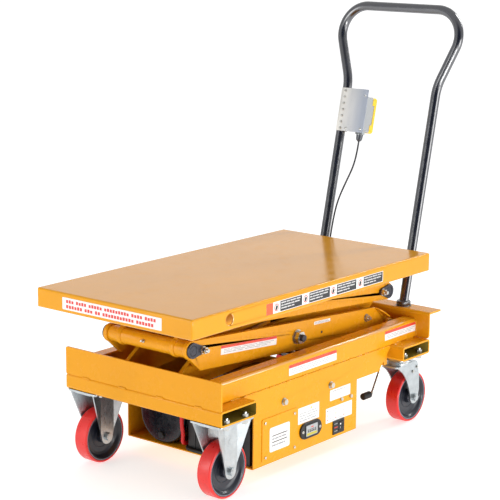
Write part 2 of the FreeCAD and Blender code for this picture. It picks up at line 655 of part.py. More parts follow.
def caster_bolts():
    """The sixteen bolts and nuts that hold the four casters to the cross tubes."""
    bolts = []
    for x, y in caster_places():
        for bx, by in bolt_places(x, y):
            bolts.append(fuse([rod_z(bx, by, 5, 190, 221), hex_z(bx, by, 14, 191, TUBE_BOTTOM - 5),
                               hex_z(bx, by, 15, TUBE_BOTTOM + TUBE_WALL, 216)]))
    return bolts


# ================================================================ power unit
TRAY_BOLTS = [(FRONT + 404, 193), (FRONT + 606, 192)]
COVER_SCREWS = [(FRONT + 329, 152), (FRONT + 331, 60), (FRONT + 451, 150), (FRONT + 452, 58)]
PANEL_SCREWS = [(FRONT + 659, 140), (FRONT + 702, 139)]
SWITCH_X = FRONT + 647
SWITCH_Z = 67


def power_tray():
    """The folded tray that hangs under the base and carries the battery and the pump."""
    outer = box(TRAY_FRONT, TRAY_REAR, -TRAY_HALF_WIDTH, TRAY_HALF_WIDTH, TRAY_BOTTOM, TRAY_TOP)
    outer = round_edges(outer, 3, lambda edge: along(edge, V(1, 0, 0))
                        and edge.BoundBox.ZMax < TRAY_BOTTOM + 1)
    inner = box(TRAY_FRONT - 1, TRAY_REAR - TRAY_SHEET, -TRAY_HALF_WIDTH + TRAY_SHEET,
                TRAY_HALF_WIDTH - TRAY_SHEET, TRAY_BOTTOM + TRAY_SHEET, TRAY_TOP + 1)
    tray = outer.cut(inner)
    tray = tray.cut(box(TRAY_REAR - 10, TRAY_REAR + 1, -TRAY_HALF_WIDTH + 30, TRAY_HALF_WIDTH - 30,
                        TRAY_REAR_TOP, TRAY_TOP + 1))
    for x, z in TRAY_BOLTS:
        tray = tray.cut(rod_y(x, z, BOLT_HOLE, -TRAY_HALF_WIDTH - 1, TRAY_HALF_WIDTH + 1))
    end = CORD_ROUTE[-1]
    tray = tray.cut(rod_x(end.y, end.z, CORD_HOLE_RADIUS, TRAY_REAR - 10, TRAY_REAR + 1))
    return tray.cut(box(SWITCH_X - 22, SWITCH_X + 22, -TRAY_HALF_WIDTH - 1, -TRAY_HALF_WIDTH + 10,
                        SWITCH_Z - 16, SWITCH_Z + 16))


def tray_cover():
    """The thin service cover on the tray's right side."""
    cover = box(FRONT + 318, FRONT + 464, -TRAY_HALF_WIDTH - 2, -TRAY_HALF_WIDTH, 50, 163)
    return round_edges(cover, 4, lambda edge: along(edge, V(0, 1, 0)))


def panel_fasteners():
    """Bolts that hang the tray on the side plates, and the screws of the cover and the panel."""
    pieces = []
    outside = -RAIL_HALF_WIDTH
    for x, z in TRAY_BOLTS:
        bolt = fuse([rod_y(x, z, 5, outside - 6, -TRAY_HALF_WIDTH + TRAY_SHEET + 8),
                     rod_y(x, z, 10, outside - 2, outside), hex_y(x, z, 14, outside - 9, outside - 2),
                     hex_y(x, z, 14, -TRAY_HALF_WIDTH + TRAY_SHEET, -TRAY_HALF_WIDTH + TRAY_SHEET + 6)])
        pieces += both_sides(bolt)
    for x, z in COVER_SCREWS:
        pieces.append(round_edges(rod_y(x, z, 4, -TRAY_HALF_WIDTH - 5, -TRAY_HALF_WIDTH - 2), 1.5,
                                  lambda edge: edge.BoundBox.YMax < -TRAY_HALF_WIDTH - 4.5
                                  and edge.BoundBox.ZLength > 5))
    for x, z in PANEL_SCREWS:
        pieces.append(hex_y(x, z, 9, -TRAY_HALF_WIDTH - 5, -TRAY_HALF_WIDTH))
    return pieces


def charge_gauge():
    """The battery gauge: a bezel with round ends and a raised rectangular face."""
    x = FRONT + 521
    z = 90
    y = -TRAY_HALF_WIDTH
    bezel = fuse([box(x - 24, x + 24, y - 6, y, z - 22, z + 22), rod_y(x - 24, z, 22, y - 6, y),
                  rod_y(x + 24, z, 22, y - 6, y)])
    bezel = round_edges(bezel, 2, lambda edge: edge.BoundBox.YMax < y - 5.5)
    return fuse([bezel, box(x - 27, x + 27, y - 7, y - 5, z - 17, z + 17)])


def switch_housing():
    """The switch panel: a flat bezel with a well for the rocker."""
    y = -TRAY_HALF_WIDTH
    bezel = box(SWITCH_X - 25, SWITCH_X + 25, y - 3, y, SWITCH_Z - 19, SWITCH_Z + 19)
    body = box(SWITCH_X - 21, SWITCH_X + 21, y, y + 18, SWITCH_Z - 15, SWITCH_Z + 15)
    well = box(SWITCH_X - 2, SWITCH_X + 18, y - 4, y + 12, SWITCH_Z - 13, SWITCH_Z + 13)
    pivot = rod_x(y + 2, SWITCH_Z, 2 + RUNNING_GAP, SWITCH_X - 4.5, SWITCH_X + 20.3)
    return fuse([bezel, body]).cut(well).cut(pivot)


def power_rocker():
    """The rocker of the power switch, a shallow V seen from above its pivot."""
    y = -TRAY_HALF_WIDTH
    outline = [(y + 6, -11), (y - 4, -11.5), (y - 2.5, 0), (y - 4, 11.5), (y + 6, 11)]
    corners = [V(SWITCH_X - 1, py, SWITCH_Z + pz) for py, pz in outline]
    rocker = Part.Face(Part.makePolygon(corners + corners[:1])).extrude(V(18, 0, 0))
    return fuse([rocker, rod_x(y + 2, SWITCH_Z, 2, SWITCH_X - 4, SWITCH_X + 20)])


def battery():
    """The traction battery: a case with a stepped lid and two terminals."""
    x0 = TRAY_FRONT + 9
    case = box(x0, x0 + 175, -198, 9, TRAY_BOTTOM + TRAY_SHEET, 140)
    lid = box(x0 + 3, x0 + 172, -195, 6, 140, 172)
    posts = [rod_z(x0 + 25, y, 8, 172, 186) for y in (-180, -20)]
    return fuse([case, lid] + posts)


def reservoir():
    """The hydraulic power unit's oil tank: a drum lying along X, with domed edges."""
    front = TRAY_FRONT + 5
    tank = rod_x(RESERVOIR_Y, RESERVOIR_Z, RESERVOIR_RADIUS, front, TRAY_FRONT + 236)
    return round_edges(tank, 7, lambda edge: edge.BoundBox.XMax < front + 1
                       and edge.BoundBox.ZLength > RESERVOIR_RADIUS)


def pump_motor():
    """The pump's manifold block and electric motor behind the oil tank."""
    x0 = TRAY_FRONT + 236
    block = box(x0, x0 + 40, RESERVOIR_Y - 50, RESERVOIR_Y + 50, RESERVOIR_Z - 50, RESERVOIR_Z + 50)
    motor = rod_x(RESERVOIR_Y, RESERVOIR_Z, 56, x0 + 40, x0 + 180)
    cap = rod_x(RESERVOIR_Y, RESERVOIR_Z, 44, x0 + 180, x0 + 192)
    valve = rod_y(x0 + 20, RESERVOIR_Z + 20, 14, RESERVOIR_Y - 95, RESERVOIR_Y - 50)
    return fuse([block, motor, cap, valve])


# ================================================================ lowering lever
LEVER_X = FRONT + 878
LEVER_Z = 196
LEVER_Y = -199.5


def lever_bracket():
    """A bracket on the rear cross tube with the pin on which the lowering lever turns."""
    tab = box(LEVER_X - 9, REAR_TUBE_FRONT, -210, -204, 187, 226)
    pin = rod_y(LEVER_X, LEVER_Z, 5, -210, -193)
    stop = rod_y(LEVER_X, LEVER_Z, 8, -194.5, -192)
    return fuse([tab, pin, stop])


def lowering_lever():
    """A bent steel rod with an eye; its foot end points forwards."""
    eye = rod_y(LEVER_X, LEVER_Z, 9, LEVER_Y - 4, LEVER_Y + 4)
    knee = V(FRONT + 829, LEVER_Y, 113)
    rod = swept_tube([V(LEVER_X - 2, LEVER_Y, LEVER_Z - 4), knee, V(FRONT + 792, LEVER_Y, 113)], [10], 4)
    return eye.fuse(rod).cut(rod_y(LEVER_X, LEVER_Z, 5 + RUNNING_GAP, LEVER_Y - 5, LEVER_Y + 5))


def lever_rubber():
    """The rubber sleeve on the lever's foot end."""
    sleeve = rod_x(LEVER_Y, 113, 9.5, FRONT + 784, FRONT + 819)
    sleeve = round_edges(sleeve, 3, lambda edge: edge.BoundBox.ZLength > 10)
    return sleeve.cut(rod_x(LEVER_Y, 113, 4, FRONT + 792, FRONT + 830))


# ================================================================ handle and pendant
def on_handle(shape):
    """Moves a shape made in handle coordinates (w, y, v) onto the leaning handle."""
    shape = shape.copy()
    shape.rotate(V(0, 0, 0), V(0, 1, 0), HANDLE_LEAN)
    shape.translate(V(HANDLE_FOOT_X, 0, REAR_PLATE_TOP))
    return shape


def handle_tube():
    """One bent tube: two leaning legs, two knees that open outwards and a cross bar."""
    half = [V(0, -HANDLE_FOOT_Y, -10), V(0, -HANDLE_FOOT_Y, HANDLE_KNEE), V(0, -HANDLE_TOP_Y, HANDLE_TOP)]
    points = half + [V(0, -p.y, p.z) for p in reversed(half)]
    bends = [KNEE_BEND, CORNER_BEND, CORNER_BEND, KNEE_BEND]
    outer = swept_tube(points, bends, HANDLE_TUBE_RADIUS)
    inner = swept_tube(points, bends, HANDLE_TUBE_RADIUS - HANDLE_WALL)
    tube = on_handle(outer.cut(inner))
    below = box(HANDLE_FOOT_X - 60, HANDLE_FOOT_X + 60, -200, 200, REAR_PLATE_TOP - 40, REAR_PLATE_TOP)
    return fuse([tube.cut(below)] + both_sides(handle_collar()))


def handle_collar():
    """The ring welded round the foot of the right-hand leg."""
    ring = rod_z(HANDLE_FOOT_X + 1.5, -HANDLE_FOOT_Y, 20.5, REAR_PLATE_TOP, REAR_PLATE_TOP + 15)
    ring = round_edges(ring, 4, lambda edge: edge.BoundBox.ZMin > REAR_PLATE_TOP + 14)
    leg = Part.makeCylinder(HANDLE_TUBE_RADIUS, 90, V(0, -HANDLE_FOOT_Y, -30), V(0, 0, 1))
    return ring.cut(on_handle(leg))


def pendant_bracket():
    """The bent sheet bracket that wraps the left leg and carries the control box."""
    front = -HANDLE_TUBE_RADIUS
    low = BRACKET_LOW
    high = BRACKET_HIGH
    sheet = box(front - 2, front, 66, HANDLE_FOOT_Y, low, high)
    wrap = Part.makeCylinder(HANDLE_TUBE_RADIUS + 2, high - low, V(0, HANDLE_FOOT_Y, low), V(0, 0, 1))
    wrap = wrap.common(box(-20, 20, HANDLE_FOOT_Y, HANDLE_FOOT_Y + 30, low, high))
    tab = box(-front, -front + 2, HANDLE_FOOT_Y - 12, HANDLE_FOOT_Y, low, high)
    hanging_hole = Part.makeCylinder(3, 10, V(front - 5, 74.5, high - 19), V(1, 0, 0))
    leg = Part.makeCylinder(HANDLE_TUBE_RADIUS, 140, V(0, HANDLE_FOOT_Y, low - 5), V(0, 0, 1))
    return on_handle(fuse([sheet, wrap, tab]).cut(hanging_hole).cut(leg))


BRACKET_LOW = 476
BRACKET_HIGH = 604
BOX_Y0 = 70
BOX_Y1 = 139
BOX_V0 = 480
BOX_V1 = 584
BOX_BACK = -HANDLE_TUBE_RADIUS
BOX_FACE = 30
BOX_STEP = 21
STEP_V0 = BOX_V0 + 23
STEP_V1 = BOX_V1 - 23
COVER_FACE = 42
GLAND_W = 6
GLAND_Y = 89
GLAND_END = BOX_V0 - 29
BUTTON_Y = 104.5
BUTTON_RADIUS = 11


def box_block(grow):
    """The pendant case's outside: deep in the middle and stepped back at both ends."""
    block = box(BOX_BACK, BOX_STEP, BOX_Y0, BOX_Y1, BOX_V0, BOX_V1)
    return fuse([block, box(BOX_BACK, BOX_FACE, BOX_Y0 - grow, BOX_Y1 + grow, STEP_V0, STEP_V1)])


def control_box():
    """The pendant control's case: a shell that opens towards the operator."""
    case = round_edges(box_block(0), 3, lambda edge: along(edge, V(1, 0, 0))
                       and not BOX_V0 + 1 < edge.BoundBox.ZMin < BOX_V1 - 1)
    hollow = box(BOX_BACK + 3, BOX_FACE + 1, BOX_Y0 + 3, BOX_Y1 - 3, BOX_V0 + 3, BOX_V1 - 3)
    return on_handle(case.cut(hollow))


def control_cover():
    """The pendant's cover: it follows the step of the case and has two button holes."""
    cover = box(BOX_STEP, COVER_FACE, BOX_Y0 - 1, BOX_Y1 + 1, BOX_V0 - 1, BOX_V1 + 1)
    cover = round_edges(cover, 8, lambda edge: along(edge, V(1, 0, 0)))
    cover = round_edges(cover, 3, lambda edge: edge.BoundBox.XMin > COVER_FACE - 0.1)
    cover = cover.cut(box_block(2))
    for v in (505, 559):
        hole = Part.makeCylinder(BUTTON_RADIUS + 0.08, 30, V(BOX_STEP - 1, BUTTON_Y, v), V(1, 0, 0))
        cover = cover.cut(hole)
    return on_handle(cover)


def push_button(v):
    """One push button, standing a little proud of the cover."""
    cap = Part.makeCylinder(BUTTON_RADIUS, 9.5, V(COVER_FACE - 6.5, BUTTON_Y, v), V(1, 0, 0))
    cap = round_edges(cap, 1.5, lambda edge: edge.BoundBox.XMin > COVER_FACE)
    return on_handle(cap)


def cable_gland():
    """The gland where the cord leaves the control box."""
    nut = hex_z(GLAND_W, GLAND_Y, 24, BOX_V0 - 8, BOX_V0)
    dome = Part.makeCone(9, 10.5, 16, V(GLAND_W, GLAND_Y, GLAND_END + 5), V(0, 0, 1))
    mouth = Part.makeCone(4.5, 9, 5, V(GLAND_W, GLAND_Y, GLAND_END), V(0, 0, 1))
    return on_handle(fuse([nut, dome, mouth]))


# The pendant cord's route: out of the gland, in a slack curve to the leg, down beside it, through the
# shelf, under the rear cross tube and into the back of the power tray.
CORD_ROUTE = [V(FRONT + 1147.3, 89, 757), V(FRONT + 1139.4, 89, 723), V(FRONT + 1128.5, 95, 680),
              V(FRONT + 1115, 112.5, 632), V(FRONT + 1100, 128, 580), V(FRONT + 1088, 133, 530),
              V(FRONT + 1074, 134, 470), V(FRONT + 1062, 133, 415), V(FRONT + 1052, 130, 365),
              V(FRONT + 1044, 126, 318), V(FRONT + 1042, 121, 268), V(FRONT + 1038, 117, 218),
              V(FRONT + 1012, 114, 185), V(FRONT + 965, 112, 178), V(FRONT + 915, 110, 180),
              V(FRONT + 865, 107, 176), V(FRONT + 815, 104, 169), V(FRONT + 770, 101, 160),
              V(FRONT + 729, 98, 152)]


def cord_bends():
    """One bend radius per corner of the cord's route."""
    bends = []
    for before, here, after in zip(CORD_ROUTE, CORD_ROUTE[1:], CORD_ROUTE[2:]):
        run = min((here - before).Length, (after - here).Length)
        turn = (here - before).getAngle(after - here)
        bends.append(0.45 * run / math.tan(turn / 2))
    return bends


def pendant_cord():
    """The control cord as a round tube."""
    return swept_tube(CORD_ROUTE, cord_bends(), CORD_RADIUS)


# ================================================================ write every node
def main():
    os.makedirs("parts", exist_ok=True)

    front_tube = cross_tube(BASE_FRONT, BASE_FRONT + FRONT_TUBE_DEPTH)
    rear_tube = cross_tube(REAR_TUBE_FRONT, REAR_TUBE_FRONT + REAR_TUBE_DEPTH)
    save("front_cross_tube", drill_caster_holes(front_tube, caster_places()[:2]))
    rear_tube = drill_caster_holes(rear_tube, caster_places()[2:])
    save("rear_cross_tube", fuse([rear_tube, lever_bracket()] + base_pivot_lugs()))
    save("side_rails", both_sides(side_rail()))
    save("front_plate", front_plate())
    save("rear_plate", rear_plate())
    save("side_plates", both_sides(side_plate()))
    save("base_pivot_pins", both_sides(base_pivot_pin()))

    running_bore = PIN_RADIUS + RUNNING_GAP
    save("lower_outer_frame", outer_frame(REAR_BASE, FRONT_MID, running_bore, True))
    block, bolt = guide_block()
    save("guide_blocks", both_sides(block))
    save("lower_outer_pins", outer_pins(REAR_BASE, FRONT_MID) + both_sides(bolt))
    save("lower_inner_frame", lower_inner_frame())
    save("upper_inner_frame", upper_inner_frame())
    save("upper_outer_frame", outer_frame(FRONT_DECK, REAR_MID, running_bore, False))
    save("upper_outer_pins", outer_pins(FRONT_DECK, REAR_MID))
    save("lower_roller_shaft", roller_shaft(FRONT_BASE, 213))
    save("lower_rollers", rollers(FRONT_BASE, 22, 186, 212))
    save("upper_roller_shaft", roller_shaft(FRONT_DECK, 210))
    save("upper_rollers", rollers(FRONT_DECK, 20, 184, 209))

    foot = cylinder_foot()
    head = cylinder_head()
    save("cylinder_foot_shaft", rod_y(foot[0], foot[1], PIN_RADIUS, -OUTER_ARM_INSIDE, OUTER_ARM_INSIDE))
    save("cylinder_head_shaft", rod_y(head[0], head[1], PIN_RADIUS, -80, 80))
    save("cylinder_barrels", [barrel(-CYLINDER_Y), barrel(CYLINDER_Y)])
    save("piston_rods", [piston_rod(-CYLINDER_Y), piston_rod(CYLINDER_Y)])

    save("deck_pan", deck_pan())
    save("deck_underframe", deck_underframe())
    save("deck_pivot_pins", both_sides(deck_pin()))

    for side, word in ((-1, "right"), (1, "left")):
        y = side * CASTER_Y_FRONT
        save("front_hub_" + word, wheel_hub(FRONT_AXLE_X, y))
        save("front_tread_" + word, wheel_tread(FRONT_AXLE_X, y))
        y = side * CASTER_Y_REAR
        save("rear_fork_" + word, rear_fork(y))
        save("rear_axle_" + word, axle_bolt(SWIVEL_X + SWIVEL_OFFSET, y))
        save("rear_hub_" + word, wheel_hub(SWIVEL_X + SWIVEL_OFFSET, y))
        save("rear_tread_" + word, wheel_tread(SWIVEL_X + SWIVEL_OFFSET, y))
    save("front_forks", [front_fork(side * CASTER_Y_FRONT) for side in (-1, 1)])
    save("front_axles", [axle_bolt(FRONT_AXLE_X, side * CASTER_Y_FRONT) for side in (-1, 1)])
    save("swivel_plates", [swivel_plate(side * CASTER_Y_REAR) for side in (-1, 1)])
    save("caster_bolts", caster_bolts())

    save("power_tray", power_tray())
    save("tray_cover", tray_cover())
    save("panel_fasteners", panel_fasteners())
    save("charge_gauge", charge_gauge())
    save("switch_housing", switch_housing())
    save("power_rocker", power_rocker())
    save("battery", battery())
    save("oil_reservoir", reservoir())
    save("pump_motor", pump_motor())
    save("lowering_lever", lowering_lever())
    save("lever_rubber", lever_rubber())

    save("handle_tube", handle_tube())
    save("pendant_bracket", pendant_bracket())
    save("control_box", control_box())
    save("control_cover", control_cover())
    save("button_down", push_button(505))
    save("button_up", push_button(559))
    save("cable_gland", cable_gland())
    save("pendant_cord", pendant_cord())


main()
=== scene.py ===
import json
import math

import bmesh
import bpy
from mathutils import Matrix, Vector


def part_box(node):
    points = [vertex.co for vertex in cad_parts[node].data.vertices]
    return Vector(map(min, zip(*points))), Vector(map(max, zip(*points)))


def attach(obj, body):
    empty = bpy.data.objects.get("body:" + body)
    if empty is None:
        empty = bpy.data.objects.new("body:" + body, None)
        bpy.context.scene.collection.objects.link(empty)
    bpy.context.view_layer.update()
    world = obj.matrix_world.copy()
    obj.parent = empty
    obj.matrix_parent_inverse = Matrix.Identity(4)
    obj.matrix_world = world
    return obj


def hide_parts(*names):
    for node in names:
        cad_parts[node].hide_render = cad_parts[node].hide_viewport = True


# The looks of a double scissor lift table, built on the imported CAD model. Metres, row frame.

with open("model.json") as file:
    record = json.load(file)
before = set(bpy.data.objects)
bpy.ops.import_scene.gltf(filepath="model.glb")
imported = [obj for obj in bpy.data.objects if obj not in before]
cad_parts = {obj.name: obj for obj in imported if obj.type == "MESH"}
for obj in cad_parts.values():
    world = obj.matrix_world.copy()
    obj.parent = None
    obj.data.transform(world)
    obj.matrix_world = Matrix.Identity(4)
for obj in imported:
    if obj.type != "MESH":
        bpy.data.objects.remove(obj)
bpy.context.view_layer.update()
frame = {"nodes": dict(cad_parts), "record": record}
NODES = frame["nodes"]

DECK_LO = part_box("deck_pan")[0]
FRONT = DECK_LO.x
DECK_SIDE = DECK_LO.y


def fx(millimetres):
    """Distance behind the deck's front edge, in millimetres, to the row frame's x."""
    return FRONT + millimetres / 1000


# Places on the CAD model that the details are set out from.
TRAY_LO, TRAY_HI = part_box("power_tray")
PANEL = TRAY_LO.y
RAIL_LO, RAIL_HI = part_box("side_rails")
ARM_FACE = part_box("lower_outer_frame")[0].y
TUBE_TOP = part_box("front_cross_tube")[1].z
PLATE_LO, PLATE_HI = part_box("front_plate")
SHELF_LO, SHELF_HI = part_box("rear_plate")
FRONT_HINGE = fx(137)
CENTRE_PIN = fx(559.5)
REAR_HINGE = fx(982)
HINGE_Z = 0.369
BASE_HINGE_Z = 0.2705
FLAG_FACE = 0.1461
SWIVEL_X = fx(950)
REAR_CASTER_Y = 0.205
FRONT_CASTER_X = fx(169)
FRONT_CASTER_Y = 0.2105
FORK_LEG = 0.029
LEAN = math.radians(13)
HANDLE_FOOT = Vector((FRONT + 1.040, 0, SHELF_HI.z))

X = Vector((1, 0, 0))
Y = Vector((0, 1, 0))
Z = Vector((0, 0, 1))


# ---- materials
def rgb(red, green, blue):
    """A screen colour (0-255) as linear values."""
    def linear(c):
        c /= 255
        return c / 12.92 if c <= 0.04045 else ((c + 0.055) / 1.055) ** 2.4
    return (linear(red), linear(green), linear(blue), 1)


def shaded(colour, factor):
    """A darker or lighter version of a colour."""
    return tuple(min(1, c * factor) for c in colour[:3]) + (1,)


def set_range(node, *numbers):
    """Fills a map range node: from low, from high, to low, to high."""
    for socket, number in zip(("From Min", "From Max", "To Min", "To Max"), numbers):
        node.inputs[socket].default_value = number


class Paint:
    """A node material with short calls for the textures that every finish here needs."""

    def __init__(self, name, **sockets):
        self.material = bpy.data.materials.new(name)
        self.material.use_nodes = True
        self.tree = self.material.node_tree
        self.shader = self.tree.nodes["Principled BSDF"]
        for socket, value in sockets.items():
            self.shader.inputs[socket.replace("_", " ")].default_value = value
        self.place = self.tree.nodes.new("ShaderNodeTexCoord").outputs["Object"]

    def link(self, a, b):
        self.tree.links.new(a, b)

    def stretched(self, x, y, z):
        """Object coordinates scaled by a factor per axis, for brushed or drawn grain."""
        node = self.tree.nodes.new("ShaderNodeMapping")
        node.inputs["Scale"].default_value = (x, y, z)
        self.link(self.place, node.inputs["Vector"])
        return node.outputs["Vector"]

    def noise(self, scale, detail=3, roughness=0.55, place=None, distortion=0.0):
        node = self.tree.nodes.new("ShaderNodeTexNoise")
        node.inputs["Scale"].default_value = scale
        node.inputs["Detail"].default_value = detail
        node.inputs["Roughness"].default_value = roughness
        node.inputs["Distortion"].default_value = distortion
        self.link(place or self.place, node.inputs["Vector"])
        return node.outputs["Fac"]

    def cells(self, scale):
        node = self.tree.nodes.new("ShaderNodeTexVoronoi")
        node.inputs["Scale"].default_value = scale
        self.link(self.place, node.inputs["Vector"])
        return node.outputs["Distance"]

    def span(self, value, low, high, out_low, out_high):
        """Maps a texture value from one range to another, clamped."""
        node = self.tree.nodes.new("ShaderNodeMapRange")
        set_range(node, low, high, out_low, out_high)
        self.link(value, node.inputs["Value"])
        return node.outputs["Result"]

    def mixed(self, factor, a, b):
        """A colour between a and b; each is a colour or another node's output."""
        node = self.tree.nodes.new("ShaderNodeMix")
        node.data_type = "RGBA"
        self.link(factor, node.inputs["Factor"])
        for socket, value in ((node.inputs[6], a), (node.inputs[7], b)):
            if isinstance(value, bpy.types.NodeSocket):
                self.link(value, socket)
            else:
                socket.default_value = value
        return node.outputs[2]

    def colour(self, value):
        self.link(value, self.shader.inputs["Base Color"])

    def rough(self, value):
        self.link(value, self.shader.inputs["Roughness"])

    def bump(self, height, distance, strength=1.0, under=None):
        node = self.tree.nodes.new("ShaderNodeBump")
        node.inputs["Distance"].default_value = distance
        node.inputs["Strength"].default_value = strength
        self.link(height, node.inputs["Height"])
        if under:
            self.link(under, node.inputs["Normal"])
        self.link(node.outputs["Normal"], self.shader.inputs["Normal"])
        return node.outputs["Normal"]


def powder_coat(name, colour, roughness=0.22, shine=0.22, peel=0.35, ior=1.5):
    """Powder coat: slight colour drift, fine orange peel, dull smudges and small dark specks."""
    p = Paint(name, Specular_IOR_Level=shine, IOR=ior)
    drift = p.span(p.noise(3.2, 4), 0.3, 0.7, 0, 1)
    base = p.mixed(drift, shaded(colour, 0.95), shaded(colour, 1.04))
    smudge = p.span(p.noise(21, 5, 0.65, distortion=0.4), 0.55, 0.8, 0, 0.28)
    base = p.mixed(smudge, base, shaded(colour, 0.8))
    speck = p.span(p.cells(140), 0.0, 0.045, 0.55, 0)
    p.colour(p.mixed(speck, base, shaded(colour, 0.35)))
    p.rough(p.span(p.noise(26, 5, 0.7), 0.3, 0.75, roughness - 0.05, roughness + 0.13))
    fine = p.bump(p.noise(420, 2), 0.00006, peel)
    p.bump(p.noise(6, 2), 0.0004, peel / 3, fine)
    return p.material


def rolled_steel(name, colour, roughness, grain=(1, 1, 1), metal=1.0, spots=0.25):
    """Plated or bare steel: cloudy tone, fine directional grain and small dull spots."""
    p = Paint(name, Metallic=metal)
    cloud = p.span(p.noise(38, 5, 0.65), 0.3, 0.72, 0, 1)
    base = p.mixed(cloud, shaded(colour, 0.82), shaded(colour, 1.06))
    spot = p.span(p.noise(210, 3, 0.6), 0.6, 0.78, 0, spots)
    p.colour(p.mixed(spot, base, shaded(colour, 0.45)))
    lines = p.noise(520, 3, 0.6, p.stretched(*grain))
    p.rough(p.span(lines, 0.25, 0.75, roughness - 0.07, roughness + 0.12))
    p.bump(lines, 0.00004, 0.4)
    return p.material


def brushed_sheet_painted_reflection(name, pale, deep, low, high):
    """Brushed sheet with a painted reflection: its tone runs from deep to pale across the table, between
    two places along Y, and its streaks are brushed grain.
    """
    p = Paint(name, Metallic=0.85)
    split = p.tree.nodes.new("ShaderNodeSeparateXYZ")
    p.link(p.place, split.inputs["Vector"])
    # The ramp from deep to pale is a painted reflection.
    across = p.span(split.outputs["Y"], low, high, 0, 1)
    streak = p.span(p.noise(60, 4, 0.6, p.stretched(1, 1, 0.06)), 0.3, 0.72, 0, 0.25)
    p.colour(p.mixed(streak, p.mixed(across, deep, pale), shaded(deep, 0.85)))
    lines = p.noise(640, 3, 0.6, p.stretched(1, 1, 0.04))
    p.rough(p.span(lines, 0.25, 0.75, 0.26, 0.42))
    p.bump(lines, 0.00003, 0.4)
    return p.material


def plastic(name, colour, roughness, grain=900, coat=0.0):
    """Moulded plastic or rubber: fine texture, faint dust and rubbed patches."""
    p = Paint(name, Coat_Weight=coat, Coat_Roughness=0.15)
    dust = p.span(p.noise(17, 5, 0.7), 0.45, 0.8, 0, 0.22)
    lighter = tuple(c + 0.015 for c in colour[:3]) + (1,)
    p.colour(p.mixed(dust, colour, lighter))
    p.rough(p.span(p.noise(60, 4), 0.3, 0.7, roughness - 0.06, roughness + 0.1))
    p.bump(p.noise(grain, 2), 0.00005, 0.45)
    return p.material


def printed(name, colour):
    """Printed vinyl: nearly even colour with faint mottling and a light sheen."""
    p = Paint(name)
    p.colour(p.mixed(p.span(p.noise(90, 4), 0.3, 0.75, 0, 1), colour, shaded(colour, 0.9)))
    p.rough(p.span(p.noise(40, 3), 0.3, 0.7, 0.35, 0.47))
    p.bump(p.noise(300, 2), 0.00002, 0.3)
    return p.material


def tread_rubber(name, colour):
    """Cast polyurethane: deep even red, faint flow marks round the wheel and scuffed patches."""
    p = Paint(name, Coat_Weight=0.2, Coat_Roughness=0.12, Subsurface_Weight=0.05)
    scuff = p.span(p.noise(48, 6, 0.7), 0.52, 0.75, 0, 0.45)
    base = p.mixed(p.span(p.noise(7, 3), 0.3, 0.7, 0, 1), shaded(colour, 0.88), shaded(colour, 1.05))
    p.colour(p.mixed(scuff, base, shaded(colour, 0.62)))
    p.rough(p.span(p.noise(75, 5), 0.3, 0.75, 0.24, 0.5))
    p.bump(p.noise(240, 4), 0.00008, 0.4)
    return p.material


COAT_YELLOW = rgb(226, 155, 22)
M = {
    "yellow": powder_coat("yellow_powder_coat", COAT_YELLOW),
    # The deck's coat: the yellow made 2% darker as painted shade on the lit top, and smoother and glossier
    # than the rest.
    "deck": powder_coat("deck_coat_with_painted_shade", shaded(COAT_YELLOW, 0.98), 0.14, 0.3, 0.2),
    "black_gloss": powder_coat("black_gloss_paint", rgb(10, 16, 34), 0.17, 0.75, 0.08, 1.95),
    "edge": powder_coat("glossy_rounded_edge", COAT_YELLOW, 0.1, 0.9, 0.1, 2.0),
    # Inside the open cross tubes: a thinner coat, darker still as painted shade for the hollow.
    "tube_inside": powder_coat("thin_coat_and_painted_shade_in_tubes", rgb(150, 128, 52), 0.4, 0.3),
    "zinc": rolled_steel("zinc_plate", rgb(194, 201, 204), 0.3, (1, 1, 0.15)),
    "bright": rolled_steel("bright_steel", rgb(205, 205, 200), 0.24, (1, 0.08, 1)),
    "stainless": rolled_steel("stainless_sheet", rgb(196, 196, 190), 0.33, (1, 1, 0.04), spots=0.12),
    # The bracket's ramp from bluish deep to pale is a painted reflection.
    "bracket": brushed_sheet_painted_reflection("bracket_sheet_painted_reflection", rgb(238, 235, 228), rgb(172, 179, 192), 0.078, 0.150),
    "dark_steel": rolled_steel("dark_pin_steel", rgb(72, 74, 82), 0.4, metal=0.6),
    "chrome": rolled_steel("chrome_rod", rgb(225, 226, 230), 0.08, (1, 1, 0.2), spots=0.05),
    "red_tread": tread_rubber("red_polyurethane", rgb(228, 38, 34)),
    "hub": plastic("dark_hub_paint", rgb(26, 30, 42), 0.36, 700, 0.2),
    "black_plastic": plastic("black_plastic", rgb(20, 21, 24), 0.4),
    "tank": plastic("oil_tank_black", rgb(8, 11, 20), 0.24, 350, 0.25),
    "grey_plastic": plastic("grey_plastic", rgb(168, 172, 174), 0.42),
    "yellow_plastic": plastic("yellow_plastic", rgb(250, 208, 40), 0.32),
    "white_plastic": plastic("white_plastic", rgb(225, 225, 220), 0.38),
    "nylon": plastic("natural_nylon", rgb(226, 222, 206), 0.45),
    "rubber": plastic("black_rubber", rgb(14, 14, 15), 0.58, 500),
    "cord": plastic("cord_sheath", rgb(38, 40, 46), 0.5, 1200),
    "red_cable": plastic("red_cable", rgb(205, 22, 24), 0.4, 1200),
    "gland": plastic("gland_plastic", rgb(60, 66, 76), 0.2, 900, 0.6),
    # Pale grey-blue rings on the dark hubs and the tank's front rim: a painted highlight.
    "rim": plastic("rim_painted_highlight", rgb(128, 134, 148), 0.25, 700, 0.3),
}
PRINTS = {"olive": (196, 184, 50), "white": (240, 240, 238), "red": (222, 62, 52), "orange": (240, 92, 48),
          "dark": (38, 38, 42), "grey": (150, 152, 155), "pale": (190, 192, 196), "green": (150, 190, 60),
          "yellow": (245, 205, 40)}
for shade, screen_colour in PRINTS.items():
    M[shade + "_print"] = printed(shade + "_print", rgb(*screen_colour))

